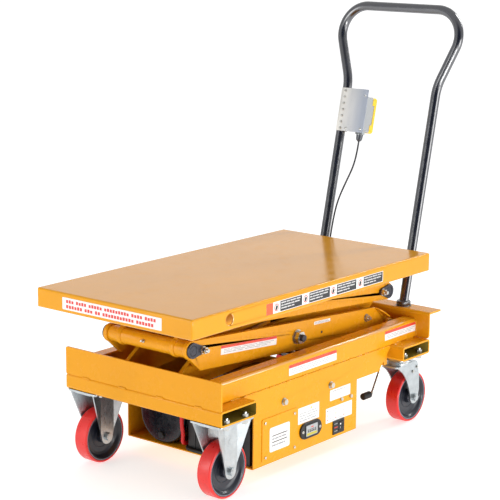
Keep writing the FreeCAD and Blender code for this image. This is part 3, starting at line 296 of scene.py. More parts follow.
# The record's material slots whose finish has another name, and the nodes that get a finish of their own.
SLOT_MATERIAL = {"yellow_paint": "yellow", "black_paint": "black_gloss", "zinc_steel": "zinc",
                 "bright_steel": "bright", "stainless_sheet": "stainless", "dark_pin_steel": "dark_steel",
                 "chrome_rod": "chrome", "cord_rubber": "cord", "black_rubber": "rubber"}
NODE_MATERIAL = {"deck_pan": "deck", "oil_reservoir": "tank", "front_axles": "zinc", "cable_gland": "gland",
                 "pendant_bracket": "bracket"}
for hand in ("left", "right"):
    NODE_MATERIAL["rear_axle_" + hand] = "zinc"
    NODE_MATERIAL["front_hub_" + hand] = "hub"
    NODE_MATERIAL["rear_hub_" + hand] = "hub"

# Widths of the rounded edges that pressed, sawn or moulded pieces really have.
SOFT_EDGE = {"deck_pan": 0.0016, "battery": 0.004, "pump_motor": 0.002, "control_box": 0.0008,
             "rear_plate": 0.0012, "front_plate": 0.0012, "side_rails": 0.001,
             "front_cross_tube": 0.0009, "rear_cross_tube": 0.0009,
             "lower_outer_frame": 0.0014, "upper_outer_frame": 0.0014,
             "lower_inner_frame": 0.0014, "upper_inner_frame": 0.0014}
SHARP_EDGE = 0.0005


def round_off(obj, width):
    """A small bevel on a piece's sharp edges."""
    bevel = obj.modifiers.new("rounded_edges", "BEVEL")
    bevel.width = width
    bevel.segments = 2
    bevel.limit_method = "ANGLE"
    bevel.angle_limit = math.radians(38)
    bevel.harden_normals = True


def finish_cad_nodes():
    """Gives every CAD node its material, its rounded edges and clean shading."""
    slots = {s["node"]: s["material_slot"] for s in frame["record"]["subparts"]}
    for name, node in NODES.items():
        slot = slots[name]
        node.data.materials.clear()
        node.data.materials.append(M[NODE_MATERIAL.get(name, SLOT_MATERIAL.get(slot, slot))])
        weld = node.modifiers.new("weld", "WELD")
        weld.merge_threshold = 0.00001
        round_off(node, SOFT_EDGE.get(name, SHARP_EDGE))


def repaint(name, key, chosen):
    """A second finish for the faces of a CAD node whose middle and normal pass a test."""
    node = NODES[name]
    node.data.materials.append(M[key])
    place = node.matrix_world
    for face in node.data.polygons:
        if chosen(place @ face.center, place.to_3x3() @ face.normal):
            face.material_index = 1


def finish_pins(name, bolts_from):
    """Bright nuts and washers on dark pins. Pins behind bolts_from are bolts, bright from the arm out."""
    nut_face = 0.1403
    washer_face = 0.1571
    flag_face = FLAG_FACE + 0.0001

    def bright(at, _normal):
        out = abs(at.y)
        if abs(at.x - CENTRE_PIN) < 0.06:
            return nut_face < out < washer_face
        return out > (nut_face if at.x > bolts_from else flag_face)
    repaint(name, "bright", bright)


def finish_tube(name, front, rear):
    """A darker olive inside an open cross tube that runs from front to rear: a thinner coat, darkened
    further as painted shade for the hollow.
    """
    wall = 0.0046
    inner_low = 0.2076
    inner_high = 0.2384

    def inside(at, normal):
        return abs(normal.y) < 0.5 and front + wall < at.x < rear - wall and inner_low < at.z < inner_high
    repaint(name, "tube_inside", inside)


def finish_details_of_cad():
    """Second finishes on the pins, the rounded edges of rails and deck, the gland, and the cross tubes'
    insides with their painted shade.
    """
    finish_pins("lower_outer_pins", fx(800))
    finish_pins("upper_outer_pins", fx(1100))
    repaint("side_rails", "edge", lambda at, normal: 0.25 < normal.z < 0.97 and abs(at.y) > 0.205)
    NODES["deck_pan"].data.materials.append(M["edge"])
    NODES["deck_pan"].modifiers["rounded_edges"].material = 1
    gland_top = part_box("cable_gland")[1].z
    repaint("cable_gland", "zinc", lambda at, _normal: at.z > gland_top - 0.0095)
    finish_tube("front_cross_tube", fx(102), fx(242))
    finish_tube("rear_cross_tube", fx(884), fx(1016))


# ---- mesh building
def new_piece(name, mesh_data, materials, body, smooth=40):
    """Makes a bmesh into a piece that rides on a body, with the given materials. Edges sharper than smooth
    degrees stay sharp."""
    bmesh.ops.recalc_face_normals(mesh_data, faces=mesh_data.faces)
    mesh = bpy.data.meshes.new(name)
    mesh_data.to_mesh(mesh)
    mesh_data.free()
    mesh.shade_smooth()
    mesh.set_sharp_from_angle(angle=math.radians(smooth))
    obj = bpy.data.objects.new(name, mesh)
    bpy.context.scene.collection.objects.link(obj)
    for key in materials:
        mesh.materials.append(M[key])
    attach(obj, body)
    return obj


def add_prism(mesh, outline, origin, across, up, depth, material=0):
    """A flat shape of (a, b) points in the plane of across and up, thickened along their cross product."""
    normal = across.cross(up).normalized() * depth
    base = [mesh.verts.new(origin + across * a + up * b) for a, b in outline]
    top = [mesh.verts.new(v.co + normal) for v in base]
    faces = [mesh.faces.new(base[::-1]), mesh.faces.new(top)]
    count = len(outline)
    for i in range(count):
        j = (i + 1) % count
        faces.append(mesh.faces.new((base[i], base[j], top[j], top[i])))
    for face in faces:
        face.material_index = material


def rectangle(a0, b0, a1, b1, radius=0.0):
    """A rectangular outline, with rounded corners if it has a radius."""
    if radius <= 0:
        return [(a0, b0), (a1, b0), (a1, b1), (a0, b1)]
    steps = 3
    points = []
    centres = ((a1 - radius, b1 - radius, 0), (a0 + radius, b1 - radius, 90),
               (a0 + radius, b0 + radius, 180), (a1 - radius, b0 + radius, 270))
    for a, b, start in centres:
        for k in range(steps + 1):
            angle = math.radians(start + 90 * k / steps)
            points.append((a + radius * math.cos(angle), b + radius * math.sin(angle)))
    return points


def disc(a, b, radius, count=20):
    """A round outline."""
    angles = [2 * math.pi * k / count for k in range(count)]
    return [(a + radius * math.cos(angle), b + radius * math.sin(angle)) for angle in angles]


def add_box(mesh, low, high):
    """An upright box."""
    size = Vector(high) - Vector(low)
    add_prism(mesh, rectangle(0, 0, size.x, size.y), Vector(low), X, Y, size.z)


def frame_of(axis):
    """Two unit vectors square to an axis."""
    axis = axis.normalized()
    side = Z if abs(axis.z) < 0.9 else X
    u = axis.cross(side).normalized()
    return u, axis.cross(u).normalized()


def add_lathe(mesh, profile, origin, axis, count):
    """A turned shape: (radius, distance along the axis) points from one end to the other, capped."""
    u, v = frame_of(axis)
    way = axis.normalized()
    rings = []
    for radius, along in profile:
        centre = origin + way * along
        if radius < 1e-6:
            rings.append([mesh.verts.new(centre)])
            continue
        rings.append([mesh.verts.new(centre + (u * math.cos(2 * math.pi * k / count)
                                               + v * math.sin(2 * math.pi * k / count)) * radius)
                      for k in range(count)])
    for a, b in zip(rings, rings[1:]):
        for k in range(count):
            j = (k + 1) % count
            corners = [a[k % len(a)], a[j % len(a)], b[j % len(b)], b[k % len(b)]]
            corners = [c for i, c in enumerate(corners) if c not in corners[:i]]
            if len(corners) > 2:
                mesh.faces.new(corners)
    for ring in (rings[0], rings[-1]):
        if len(ring) > 2:
            mesh.faces.new(ring)


def bolt_profile(radius, wall, top_radius, height, foot=-0.001):
    """The section of a head or plug whose shoulder slopes from its wall in to its flat top."""
    return [(0, foot), (radius, foot), (radius, wall), (top_radius, height), (0, height)]


def add_screw(mesh, origin, axis, radius):
    """A pan-head screw with a round recess."""
    add_lathe(mesh, [(0, -0.001), (radius, -0.001), (radius, 0.0006), (radius * 0.86, 0.0015),
                     (radius * 0.5, 0.0019), (radius * 0.34, 0.0019), (radius * 0.26, 0.001), (0, 0.001)],
              origin, axis, 24)


def add_torus(mesh, origin, axis, ring, thickness, count=32, around=10, material=0):
    """A ring of round section."""
    u, v = frame_of(axis)
    way = axis.normalized()
    loops = []
    for k in range(count):
        angle = 2 * math.pi * k / count
        out = u * math.cos(angle) + v * math.sin(angle)
        turns = [2 * math.pi * i / around for i in range(around)]
        loops.append([mesh.verts.new(origin + out * (ring + thickness * math.cos(turn))
                                     + way * thickness * math.sin(turn)) for turn in turns])
    for k in range(count):
        a, b = loops[k], loops[(k + 1) % count]
        for i in range(around):
            j = (i + 1) % around
            mesh.faces.new((a[i], a[j], b[j], b[i])).material_index = material


def add_swept(mesh, points, radii, count):
    """A round bar along points, with a radius for each, capped at both ends."""
    rings = []
    u = None
    for i, point in enumerate(points):
        way = (points[min(i + 1, len(points) - 1)] - points[max(i - 1, 0)]).normalized()
        u = frame_of(way)[0] if u is None else (u - way * u.dot(way)).normalized()
        v = way.cross(u)
        rings.append([mesh.verts.new(point + (u * math.cos(2 * math.pi * k / count)
                                              + v * math.sin(2 * math.pi * k / count)) * radii[i])
                      for k in range(count)])
    for a, b in zip(rings, rings[1:]):
        for k in range(count):
            j = (k + 1) % count
            mesh.faces.new((a[k], a[j], b[j], b[k]))
    mesh.faces.new(rings[0])
    mesh.faces.new(rings[-1])


def smooth_path(points):
    """Points on a smooth curve through the given points."""
    points = [Vector(p) for p in points]
    steps = 8
    path = []
    for i in range(len(points) - 1):
        p0, p1 = points[max(i - 1, 0)], points[i]
        p2, p3 = points[i + 1], points[min(i + 2, len(points) - 1)]
        for k in range(steps):
            t = k / steps
            path.append(0.5 * (2 * p1 + (p2 - p0) * t + (2 * p0 - 5 * p1 + 4 * p2 - p3) * t * t
                               + (3 * p1 - p0 - 3 * p2 + p3) * t ** 3))
    return path + [points[-1]]


def cable(name, points, radius, material):
    """A short lead inside the tray."""
    mesh = bmesh.new()
    path = smooth_path(points)
    add_swept(mesh, path, [radius] * len(path), 12)
    new_piece(name, mesh, [material], "base")


# ---- weld beads
def add_weld(mesh, start, end, radius):
    """A welding bead: overlapping ripples along a seam, tapered at its ends."""
    start, end = Vector(start), Vector(end)
    pitch = 0.0035
    length = (end - start).length
    steps = max(8, int(length / pitch) * 4)
    points = []
    radii = []
    for i in range(steps + 1):
        t = i / steps
        taper = min(1, 0.45 + 14 * min(t, 1 - t) * length / 0.05)
        ripple = 1 + 0.13 * abs(math.sin(math.pi * t * length / pitch))
        wander = 1 + 0.06 * math.sin(19 * t * length * 10) + 0.04 * math.sin(7.3 * i)
        points.append(start.lerp(end, t))
        radii.append(radius * taper * ripple * wander)
    add_swept(mesh, points, radii, 8)


def welds(name, seams, radius):
    """Beads along all the seams of the base that are listed, as one piece."""
    mesh = bmesh.new()
    for start, end in seams:
        add_weld(mesh, start, end, radius)
    new_piece(name, mesh, ["yellow"], "base", smooth=60)


def stitches(start, end, count, share):
    """Evenly spaced short stretches of a seam."""
    start, end = Vector(start), Vector(end)
    middles = [i + 0.5 for i in range(count)]
    return [tuple(start.lerp(end, (middle + half) / count) for half in (-share / 2, share / 2))
            for middle in middles]


def base_welds():
    """A thin bead under each rail, and short stitches where rails and plates stand on the tubes."""
    z = TUBE_TOP
    front_seam = PLATE_LO.x + 0.0002
    rear_seam = SHELF_LO.x + 0.005
    behind_front_plate = PLATE_HI.x + 0.0005
    before_rear_plate = SHELF_LO.x - 0.0005
    thin = []
    seams = stitches((front_seam, -0.255, z), (front_seam, 0.255, z), 4, 0.2)
    for side in (-1, 1):
        y = side * abs(RAIL_LO.y)
        for start, end, count, share in ((107, 242, 2, 0.55), (884, 1010, 2, 0.6), (250, 870, 9, 0.3)):
            seams += stitches((fx(start), y, z), (fx(end), y, z), count, share)
        thin.append(((fx(246), y, z), (fx(880), y, z)))
        for x in (behind_front_plate, before_rear_plate):
            seams.append(((x, y, z + 0.004), (x, y, RAIL_HI.z - 0.006)))
        seams.append(((behind_front_plate, side * 0.224, z), (behind_front_plate, side * 0.26, z)))
    seams += stitches((rear_seam, -0.25, z), (rear_seam, 0.25, z), 5, 0.3)
    welds("base_seam_beads", thin, 0.0013)
    welds("base_weld_beads", seams, 0.0026)


# ---- labels
LABEL_THICKNESS = 0.0004
LABEL_SUNK = 0.0002
PRINT_THICKNESS = 0.00012
PRINT_SUNK = 0.00004
PRINT_STEP = 0.00003


def label(name, body, centre, across, up, width, height, marks, base="white_print", corner=0.0015):
    """A sticker with raised print. Its marks are (material, left, low, right, high) in shares of the
    sticker, or (material, "disc", a, b, radius) or (material, "shape", outline) in metres from its
    middle. Materials that come later in the list lie on top."""
    across, up = Vector(across).normalized(), Vector(up).normalized()
    normal = across.cross(up)
    keys = [base]
    mesh = bmesh.new()
    centre = Vector(centre)
    add_prism(mesh, rectangle(-width / 2, -height / 2, width / 2, height / 2, corner),
              centre - normal * LABEL_SUNK, across, up, LABEL_THICKNESS + LABEL_SUNK)
    layer = {}
    for mark in marks:
        if mark[0] not in keys:
            keys.append(mark[0])
        index = keys.index(mark[0])
        level = layer.setdefault(mark[0], len(layer))
        lift = normal * (LABEL_THICKNESS - PRINT_SUNK + level * PRINT_STEP)
        if mark[1] == "disc":
            outline = disc(mark[2], mark[3], mark[4], 28)
        elif mark[1] == "shape":
            outline = mark[2]
        else:
            left, low, right, high = mark[1:]
            outline = rectangle((left - 0.5) * width, (low - 0.5) * height, (right - 0.5) * width,
                                (high - 0.5) * height)
        add_prism(mesh, outline, centre + lift, across, up, PRINT_THICKNESS, index)
    new_piece(name, mesh, keys, body)


def lines(material, left, right, rows, thickness, pattern):
    """Rows of short bars that stand for print. pattern holds (start, end) shares of the row."""
    marks = []
    for k, row in enumerate(rows):
        for start, end in pattern[k % len(pattern)]:
            marks.append((material, left + (right - left) * start, row - thickness / 2,
                          left + (right - left) * end, row + thickness / 2))
    return marks


def letters(material, left, right, row, height, words, pitch, stem=0.76):
    """A row of blocks in groups. words holds the groups' block counts, and pitch is one block's share
    of the row."""
    marks = []
    at = left
    for word in words:
        for k in range(word):
            if at + pitch > right:
                return marks
            tall = height * (1, 0.86, 1, 0.94)[(k + word) % 4]
            marks.append((material, at, row - height / 2, at + pitch * stem, row - height / 2 + tall))
            at += pitch
        at += pitch * 0.7
    return marks


# Rows of print, as the (start, end) shares of their bars.
BARS_A = [(0, 0.16), (0.19, 0.42), (0.45, 0.61), (0.64, 0.93)]
BARS_B = [(0, 0.24), (0.27, 0.38), (0.41, 0.72), (0.75, 0.86)]
BARS_C = [(0, 0.11), (0.14, 0.33), (0.36, 0.66), (0.69, 1.0)]
RIGHT_SIDE = ((1, 0, 0), (0, 0, 1))
FRONT_SIDE = ((0, -1, 0), (0, 0, 1))


def skirt_labels():
    """The front notice with two rows of red bars, and the long strip on the right-hand skirt."""
    marks = letters("red_print", 0.04, 0.965, 0.71, 0.27, (3, 4, 5, 9, 4, 4), 0.0280)
    marks += letters("red_print", 0.04, 0.965, 0.28, 0.27, (6, 3, 2, 11, 6), 0.0288)
    label("front_skirt_notice", "deck", (FRONT, 0.0025, 0.4655), *FRONT_SIDE, 0.333, 0.031, marks)
    start, end = 278, 780
    marks = [("orange_print", 0, 0, 26 / (end - start), 1)]
    panels = ((333, 422), (452, 540), (570, 657), (690, 778))
    figure = [(-0.0045, -0.0062), (0.0015, -0.0062), (0.005, 0.0012), (0.0008, 0.0064), (-0.0038, 0.0018)]
    for left, right in panels:
        a, b = (left - start) / (end - start), (right - start) / (end - start)
        marks.append(("dark_print", a, 0.05, b, 0.95))
        for row, words in ((0.78, (6, 4, 7, 5)), (0.54, (3, 8, 4, 6)), (0.30, (7, 5, 3))):
            marks += letters("white_print", a + 0.008, b - 0.006, row, 0.11, words, 0.0065, 0.7)
        middle = (left - 15 - (start + end) / 2) / 1000
        marks.append(("red_print", "disc", middle, 0, 0.0095))
        marks.append(("white_plastic", "disc", middle, 0, 0.0074))
        marks.append(("rubber", "shape", [(middle + x, y) for x, y in figure]))
    label("right_skirt_strip", "deck", (fx((start + end) / 2), DECK_SIDE, 0.4645), *RIGHT_SIDE,
          (end - start) / 1000, 0.029, marks, corner=0.001)


def warning_marks():
    """A red band with orange print above fine grey bars."""
    marks = [("red_print", 0, 0.7, 1, 1)]
    marks += lines("orange_print", 0.06, 0.94, (0.85,), 0.09, [BARS_B])
    marks += lines("grey_print", 0.05, 0.95, (0.54, 0.38, 0.22), 0.05, [BARS_C, BARS_A, BARS_B])
    return marks


def tilted(degrees):
    """The across and up directions of a sticker on the right side, turned by an angle."""
    tilt = math.radians(degrees)
    return (math.cos(tilt), 0, math.sin(tilt)), (-math.sin(tilt), 0, math.cos(tilt))


def frame_labels():
    """Stickers on the arm and on the right-hand rail."""
    arm = "lower_outer_arms"
    label("arm_notice", arm, (fx(359.8), ARM_FACE, 0.3373), *tilted(-4.7), 0.226, 0.0232, warning_marks())
    label("arm_small_plate", arm, (fx(671.5), ARM_FACE, 0.3397), *tilted(-2.6), 0.073, 0.0085,
          lines("grey_print", 0.06, 0.94, (0.66, 0.3), 0.16, [BARS_A, BARS_C]))
    for name, x, z, width, height in (("rail_notice_front", fx(527), 0.270, 0.206, 0.028),
                                      ("rail_notice_rear", fx(934), 0.275, 0.156, 0.026)):
        label(name, "base", (x, RAIL_LO.y, z), *RIGHT_SIDE, width, height, warning_marks())


def panel_labels():
    """Plates on the tray's right side. Their print is plain bars and generic shapes."""
    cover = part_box("tray_cover")[0].y
    label("cover_plate", "base", (fx(389.5), cover, 0.1015), *RIGHT_SIDE, 0.083, 0.065,
          [("dark_print", 0.12, 0.62, 0.88, 0.66), ("dark_print", 0.12, 0.36, 0.88, 0.40)]
          + lines("grey_print", 0.12, 0.88, (0.51, 0.24), 0.06, [BARS_A, BARS_B]), corner=0.005)
    triangle = [(0.007, 0.0110), (0.015, 0.0110), (0.011, 0.0190)]
    label("rating_plate", "base", (fx(514.5), PANEL, 0.135), *RIGHT_SIDE, 0.091, 0.044,
          [("yellow_print", "shape", triangle)]
          + lines("pale_print", 0.28, 0.55, (0.82,), 0.05, [BARS_B])
          + lines("grey_print", 0.08, 0.92, (0.62, 0.47, 0.32, 0.17), 0.045,
                  [BARS_A, BARS_C, BARS_B, BARS_A]), corner=0.002)
    width, height = 0.118, 0.041
    symbols = []
    for row, shades in ((0.80, ("dark", "green", "grey")), (0.50, ("green", "green", "grey")),
                        (0.20, ("red", "red", "red"))):
        for k, shade in enumerate(shades):
            left = 0.07 + 0.31 * k
            symbols.append((shade + "_print", "disc", (left - 0.5) * width, (row - 0.5) * height, 0.0021))
            symbols += lines("pale_print", left + 0.05, left + 0.25, (row + 0.06, row - 0.07), 0.05,
                             [BARS_A, BARS_C])
    label("symbol_plate", "base", (fx(650), PANEL, 0.1065), *RIGHT_SIDE, width, height, symbols,
          corner=0.002)
    diamond = [(0, -0.0100), (0.0055, -0.0035), (0, 0.0030), (-0.0055, -0.0035)]
    inner = [(0, -0.0078), (0.0038, -0.0035), (0, 0.0008), (-0.0038, -0.0035)]
    label("diamond_plate", "base", (fx(654), PANEL, 0.160), *RIGHT_SIDE, 0.092, 0.030,
          [("grey_print", "shape", diamond), ("white_print", "shape", inner)]
          + lines("grey_print", 0.15, 0.85, (0.82,), 0.07, [BARS_B]), corner=0.002)


# ---- panel instruments
def gauge_face():
    """The charge gauge's window, its olive band, scale marks and two bezel screws."""
    low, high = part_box("charge_gauge")
    middle = (low + high) / 2
    origin = Vector((middle.x, low.y, middle.z))
    shell, dark, red, olive = range(4)
    mesh = bmesh.new()

    def panel(a0, b0, a1, b1, proud, material, thick=0.0004, radius=0.0):
        add_prism(mesh, rectangle(a0, b0, a1, b1, radius), origin - Y * proud, X, Z, thick, material)
    panel(-0.0245, -0.0145, 0.0245, 0.0145, 0, shell, radius=0.002)
    panel(-0.0215, -0.0128, 0.0215, -0.0070, 0.0003, olive)
    panel(-0.0215, -0.0058, 0.0215, 0.0126, 0.0003, shell, 0.0003, 0.0008)
    for k in range(5):
        a = -0.018 + 0.0076 * k
        panel(a, -0.0042, a + 0.0052, -0.0004, 0.0005, dark)
        panel(a, 0.0012, a + 0.0052 - 0.001 * (k % 2), 0.0034, 0.0005, dark)
    panel(-0.004, 0.0070, 0.006, 0.0096, 0.0005, red)
    new_piece("gauge_face", mesh, ["grey_plastic", "dark_print", "red_print", "olive_print"], "base")
    mesh = bmesh.new()
    for side in (-1, 1):
        add_screw(mesh, Vector((middle.x + side * 0.0365, low.y + 0.001, middle.z)), -Y, 0.0042)
    new_piece("gauge_screws", mesh, ["bright"], "base")


def switch_marks():
    """Three ribs on the switch's bezel, and a bar and a dot on the rocker."""
    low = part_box("switch_housing")[0]
    mesh = bmesh.new()
    for k, material in enumerate((0, 1, 0)):
        origin = Vector((low.x + 0.0045, low.y + 0.0002, low.z + 0.009 + 0.010 * k))
        add_prism(mesh, rectangle(0, -0.0012, 0.014, 0.0012, 0.0006), origin, X, Z, 0.0007, material)
    new_piece("switch_ribs", mesh, ["grey_print", "red_print"], "base")
    low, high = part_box("power_rocker")
    bar = rectangle(-0.0006, -0.0028, 0.0006, 0.0028)
    dot = disc(0, 0, 0.0026)
    mesh = bmesh.new()
    for z, shape in ((low.z + 0.006, bar), (high.z - 0.006, dot)):
        add_prism(mesh, shape, Vector(((low.x + high.x) / 2 - 0.0005, low.y + 0.0011, z)), X, Z, 0.0005)
    new_piece("rocker_marks", mesh, ["white_print"], "rocker")


# ---- tray contents
BATTERY_LO, BATTERY_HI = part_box("battery")
BATTERY_POSTS = (BATTERY_LO.y + 0.018, BATTERY_HI.y - 0.029)


def battery_details():
    """Lid line and ribs, a strap with its buckle, and the two terminals with their clamps."""
    low, high = BATTERY_LO, BATTERY_HI
    proud = 0.0008
    seam = low.z + 0.099
    mesh = bmesh.new()
    add_box(mesh, (low.x - proud, low.y - proud, seam), (high.x + proud, high.y + proud, seam + 0.003))
    for k in range(9):
        y = low.y + 0.022 + k * 0.020
        add_box(mesh, (low.x - 0.0015, y, low.z + 0.004), (low.x + 0.001, y + 0.004, seam - 0.006))
    new_piece("battery_ribs", mesh, ["black_plastic"], "base")
    mesh = bmesh.new()
    strap = low.y + 0.118
    end = strap + 0.026
    add_box(mesh, (low.x - 0.003, strap, low.z + 0.001), (low.x - 0.001, end, high.z - 0.0135))
    add_box(mesh, (low.x - 0.003, strap, high.z - 0.0140), (high.x + 0.003, end, high.z - 0.0120))
    add_box(mesh, (low.x - 0.007, strap - 0.003, low.z + 0.062),
            (low.x - 0.003, end + 0.003, low.z + 0.094))
    round_off(new_piece("battery_strap", mesh, ["rubber"], "base"), 0.0006)
    mesh = bmesh.new()
    for y in BATTERY_POSTS:
        add_lathe(mesh, bolt_profile(0.0125, 0.010, 0.0105, 0.012, 0),
                  Vector((low.x + 0.025, y, high.z - 0.011)), Z, 28)
        add_box(mesh, (low.x + 0.004, y - 0.006, high.z - 0.010),
                (low.x + 0.018, y + 0.006, high.z - 0.002))
    round_off(new_piece("battery_clamps", mesh, ["bright"], "base"), 0.0008)


def tray_leads():
    """The battery's two leads, which drop at its front and run along the tray's floor."""
    near, far = BATTERY_POSTS
    x = BATTERY_LO.x
    top = BATTERY_HI.z
    cable("red_battery_lead",
          [(x + 0.006, far, top - 0.006), (x - 0.012, far + 0.012, top - 0.012),
           (x - 0.016, far + 0.034, 0.150), (x - 0.014, 0.020, 0.118), (x - 0.012, 0.017, 0.085),
           (x - 0.006, 0.021, 0.060), (x + 0.030, 0.023, 0.052), (x + 0.120, 0.024, 0.050),
           (x + 0.240, 0.030, 0.056), (x + 0.285, 0.040, 0.066), (x + 0.310, 0.052, 0.080)],
          0.0052, "red_cable")
    cable("black_battery_lead",
          [(x + 0.006, near, top - 0.006), (x - 0.010, near + 0.004, top - 0.02),
           (x - 0.011, near + 0.014, 0.120), (x - 0.011, near + 0.02, 0.075),
           (x - 0.008, near + 0.05, 0.050), (x - 0.008, near + 0.12, 0.047), (x, 0.013, 0.047),
           (x + 0.08, 0.016, 0.047), (x + 0.22, 0.020, 0.048), (x + 0.30, 0.060, 0.052)],
          0.0045, "rubber")


def tank_details():
    """Rolled beads, a painted highlight round the front rim, a drain plug and the filler cap of the oil
    tank.
    """
    low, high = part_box("oil_reservoir")
    middle = (low + high) / 2
    radius = (high.z - low.z) / 2
    mesh = bmesh.new()
    for x in (low.x + 0.016, high.x - 0.010):
        add_torus(mesh, Vector((x, middle.y, middle.z)), X, radius - 0.0010, 0.0022, 64)
    # A pale ring near the tank's front edge: a painted highlight.
    add_torus(mesh, Vector((low.x + 0.0024, middle.y, middle.z)), X, radius - 0.0036, 0.0011, 72, 8, 1)
    new_piece("tank_beads", mesh, ["tank", "rim"], "base")
    mesh = bmesh.new()
    add_lathe(mesh, bolt_profile(0.011, 0.004, 0.009, 0.006, -0.002),
              Vector((low.x, middle.y, low.z + 0.022)), -X, 6)
    cap = [(0, -0.004), (0.019, -0.004), (0.019, 0.016), (0.017, 0.019), (0.008, 0.020), (0, 0.020)]
    add_lathe(mesh, cap, Vector((low.x + 0.06, middle.y - 0.01, high.z - 0.001)), Z, 24)
    new_piece("tank_plugs", mesh, ["black_plastic"], "base")


# ---- casters
def wheel_details(prefix, side):
    """The hub's rim edge and boss rings, with the rim edge and inner boss ring pale as a painted highlight,
    and the lip of the tread.
    """
    body = prefix + "_wheel_" + side
    low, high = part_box(prefix + "_hub_" + side)
    middle = (low + high) / 2
    mesh = bmesh.new()
    for face in (-Y, Y):
        add_torus(mesh, middle + face * 0.0196, Y, 0.0642, 0.0010, 72, 8)
        add_torus(mesh, middle + face * 0.0200, Y, 0.0170, 0.0010, 48, 8)
        add_torus(mesh, middle + face * 0.0072, Y, 0.0330, 0.0009, 56, 8, 1)
    new_piece(prefix + "_hub_rims_" + side, mesh, ["rim", "hub"], body, 60)
    mesh = bmesh.new()
    for face in (-Y, Y):
        add_torus(mesh, middle + face * 0.0206, Y, 0.0681, 0.0007, 72, 8)
    new_piece(prefix + "_tread_lips_" + side, mesh, ["red_tread"], body, smooth=60)


def swivel_details(side, word):
    """The race ring and king pin head of a rear caster, and the hexagon screws in its fork's legs."""
    y = side * REAR_CASTER_Y
    body = "rear_swivel_" + word
    mesh = bmesh.new()
    add_torus(mesh, Vector((SWIVEL_X, y, 0.1835)), Z, 0.0375, 0.0024, 56)
    add_lathe(mesh, [(0, 0), (0.010, 0), (0.010, -0.003), (0.007, -0.006), (0, -0.0065)],
              Vector((SWIVEL_X, y, 0.1725)), Z, 24)
    new_piece("swivel_race_" + word, mesh, ["zinc"], body)
    mesh = bmesh.new()
    for leg in (-1, 1):
        for x, z in ((980, 0.150), (1000, 0.160)):
            add_lathe(mesh, bolt_profile(0.0048, 0.0026, 0.0036, 0.0036),
                      Vector((fx(x), y + leg * FORK_LEG, z)), Y * leg, 6)
    new_piece("fork_screws_" + word, mesh, ["bright"], body)


def fork_stampings():
    """The fixed half of each rear race, and a round stamping on each leg of the front forks."""
    mesh = bmesh.new()
    for side in (-1, 1):
        add_torus(mesh, Vector((SWIVEL_X, side * REAR_CASTER_Y, 0.1945)), Z, 0.0355, 0.0028, 56)
        for leg in (-1, 1):
            place = Vector((FRONT_CASTER_X, side * FRONT_CASTER_Y + leg * (FORK_LEG - 0.0002), 0.150))
            add_prism(mesh, disc(0, 0, 0.0085, 24), place, X * -leg, Z, 0.0007)
    new_piece("fork_stampings", mesh, ["zinc"], "base")


# ---- arms, pins and cylinders
def grease_nipples():
    """A grease nipple on each of the two hinge tubes."""
    nipple = [(0, -0.001), (0.0045, -0.001), (0.0045, 0.004), (0.0028, 0.005), (0.0022, 0.008),
              (0.0033, 0.0095), (0.0022, 0.0125), (0, 0.0130)]
    for word, body, hinge, way in (("front", "upper_inner_arms", FRONT_HINGE, -1),
                                   ("rear", "lower_inner_arms", REAR_HINGE, 1)):
        mesh = bmesh.new()
        add_lathe(mesh, nipple, Vector((hinge + way * 0.0195, 0.002, 0.373)), Vector((way, 0, 0.15)), 20)
        new_piece(word + "_grease_nipple", mesh, ["bright"], body)


def arm_plugs():
    """Two small dark plugs in each lower outer arm."""
    mesh = bmesh.new()
    for side in (-1, 1):
        for x, z in ((670, 0.311), (730, 0.276)):
            add_lathe(mesh, bolt_profile(0.0036, 0.0004, 0.0028, 0.0008),
                      Vector((fx(x), side * abs(ARM_FACE), z)), Y * side, 20)
    new_piece("arm_hole_plugs", mesh, ["black_plastic"], "lower_outer_arms")


def arm_lips():
    """A folded stiffening lip along the sloped rear corner of each lower outer arm."""
    base_hinge = Vector((REAR_HINGE, 0, BASE_HINGE_Z))
    along = (base_hinge - Vector((FRONT_HINGE, 0, HINGE_Z))).normalized()
    up = Vector((-along.z, 0, along.x))
    top = base_hinge - along * 0.066 + up * 0.0545
    foot = base_hinge - along * 0.016 + up * 0.0292
    inward = (foot - top).normalized().cross(Y)
    thickness = inward * math.copysign(0.004, -inward.z)
    edge = [(0, 0), (0.12, 0.013), (0.5, 0.019), (1, 0.020), (1, 0)]
    mesh = bmesh.new()
    for side in (-1, 1):
        upper = [mesh.verts.new(top.lerp(foot, share) + Y * side * (abs(ARM_FACE) + out))
                 for share, out in edge]
        lower = [mesh.verts.new(v.co + thickness) for v in upper]
        mesh.faces.new(upper)
        mesh.faces.new(lower[::-1])
        for k in range(len(edge)):
            n = (k + 1) % len(edge)
            mesh.faces.new((upper[k], upper[n], lower[n], lower[k]))
    round_off(new_piece("arm_end_lips", mesh, ["yellow"], "lower_outer_arms"), 0.0008)


def flag_rings():
    """The turned end of each hinge pin, seen as a ring and a centre mark on its flag plate."""
    for name, body, x in (("lower_flag_rings", "lower_outer_arms", FRONT_HINGE),
                          ("upper_flag_rings", "upper_outer_arms", REAR_HINGE)):
        mesh = bmesh.new()
        for side in (-1, 1):
            middle = Vector((x, side * FLAG_FACE, HINGE_Z))
            add_torus(mesh, middle, Y, 0.0128, 0.0013, 48, 8)
            add_lathe(mesh, [(0, -0.0005), (0.0042, -0.0005), (0.0042, 0.0006), (0, 0.0006)],
                      middle, Y * side, 20)
        new_piece(name, mesh, ["dark_steel"], body)


def arm_welds():
    """Beads round the hinge tubes where they meet the inner arms."""
    for name, body, x in (("upper_inner_welds", "upper_inner_arms", FRONT_HINGE),
                          ("lower_inner_welds", "lower_inner_arms", REAR_HINGE)):
        mesh = bmesh.new()
        for y in (-0.0842, -0.0958, 0.0842, 0.0958):
            add_torus(mesh, Vector((x, y, HINGE_Z)), Y, 0.0212, 0.0024, 64, 8)
        new_piece(name, mesh, ["yellow"], body, smooth=60)


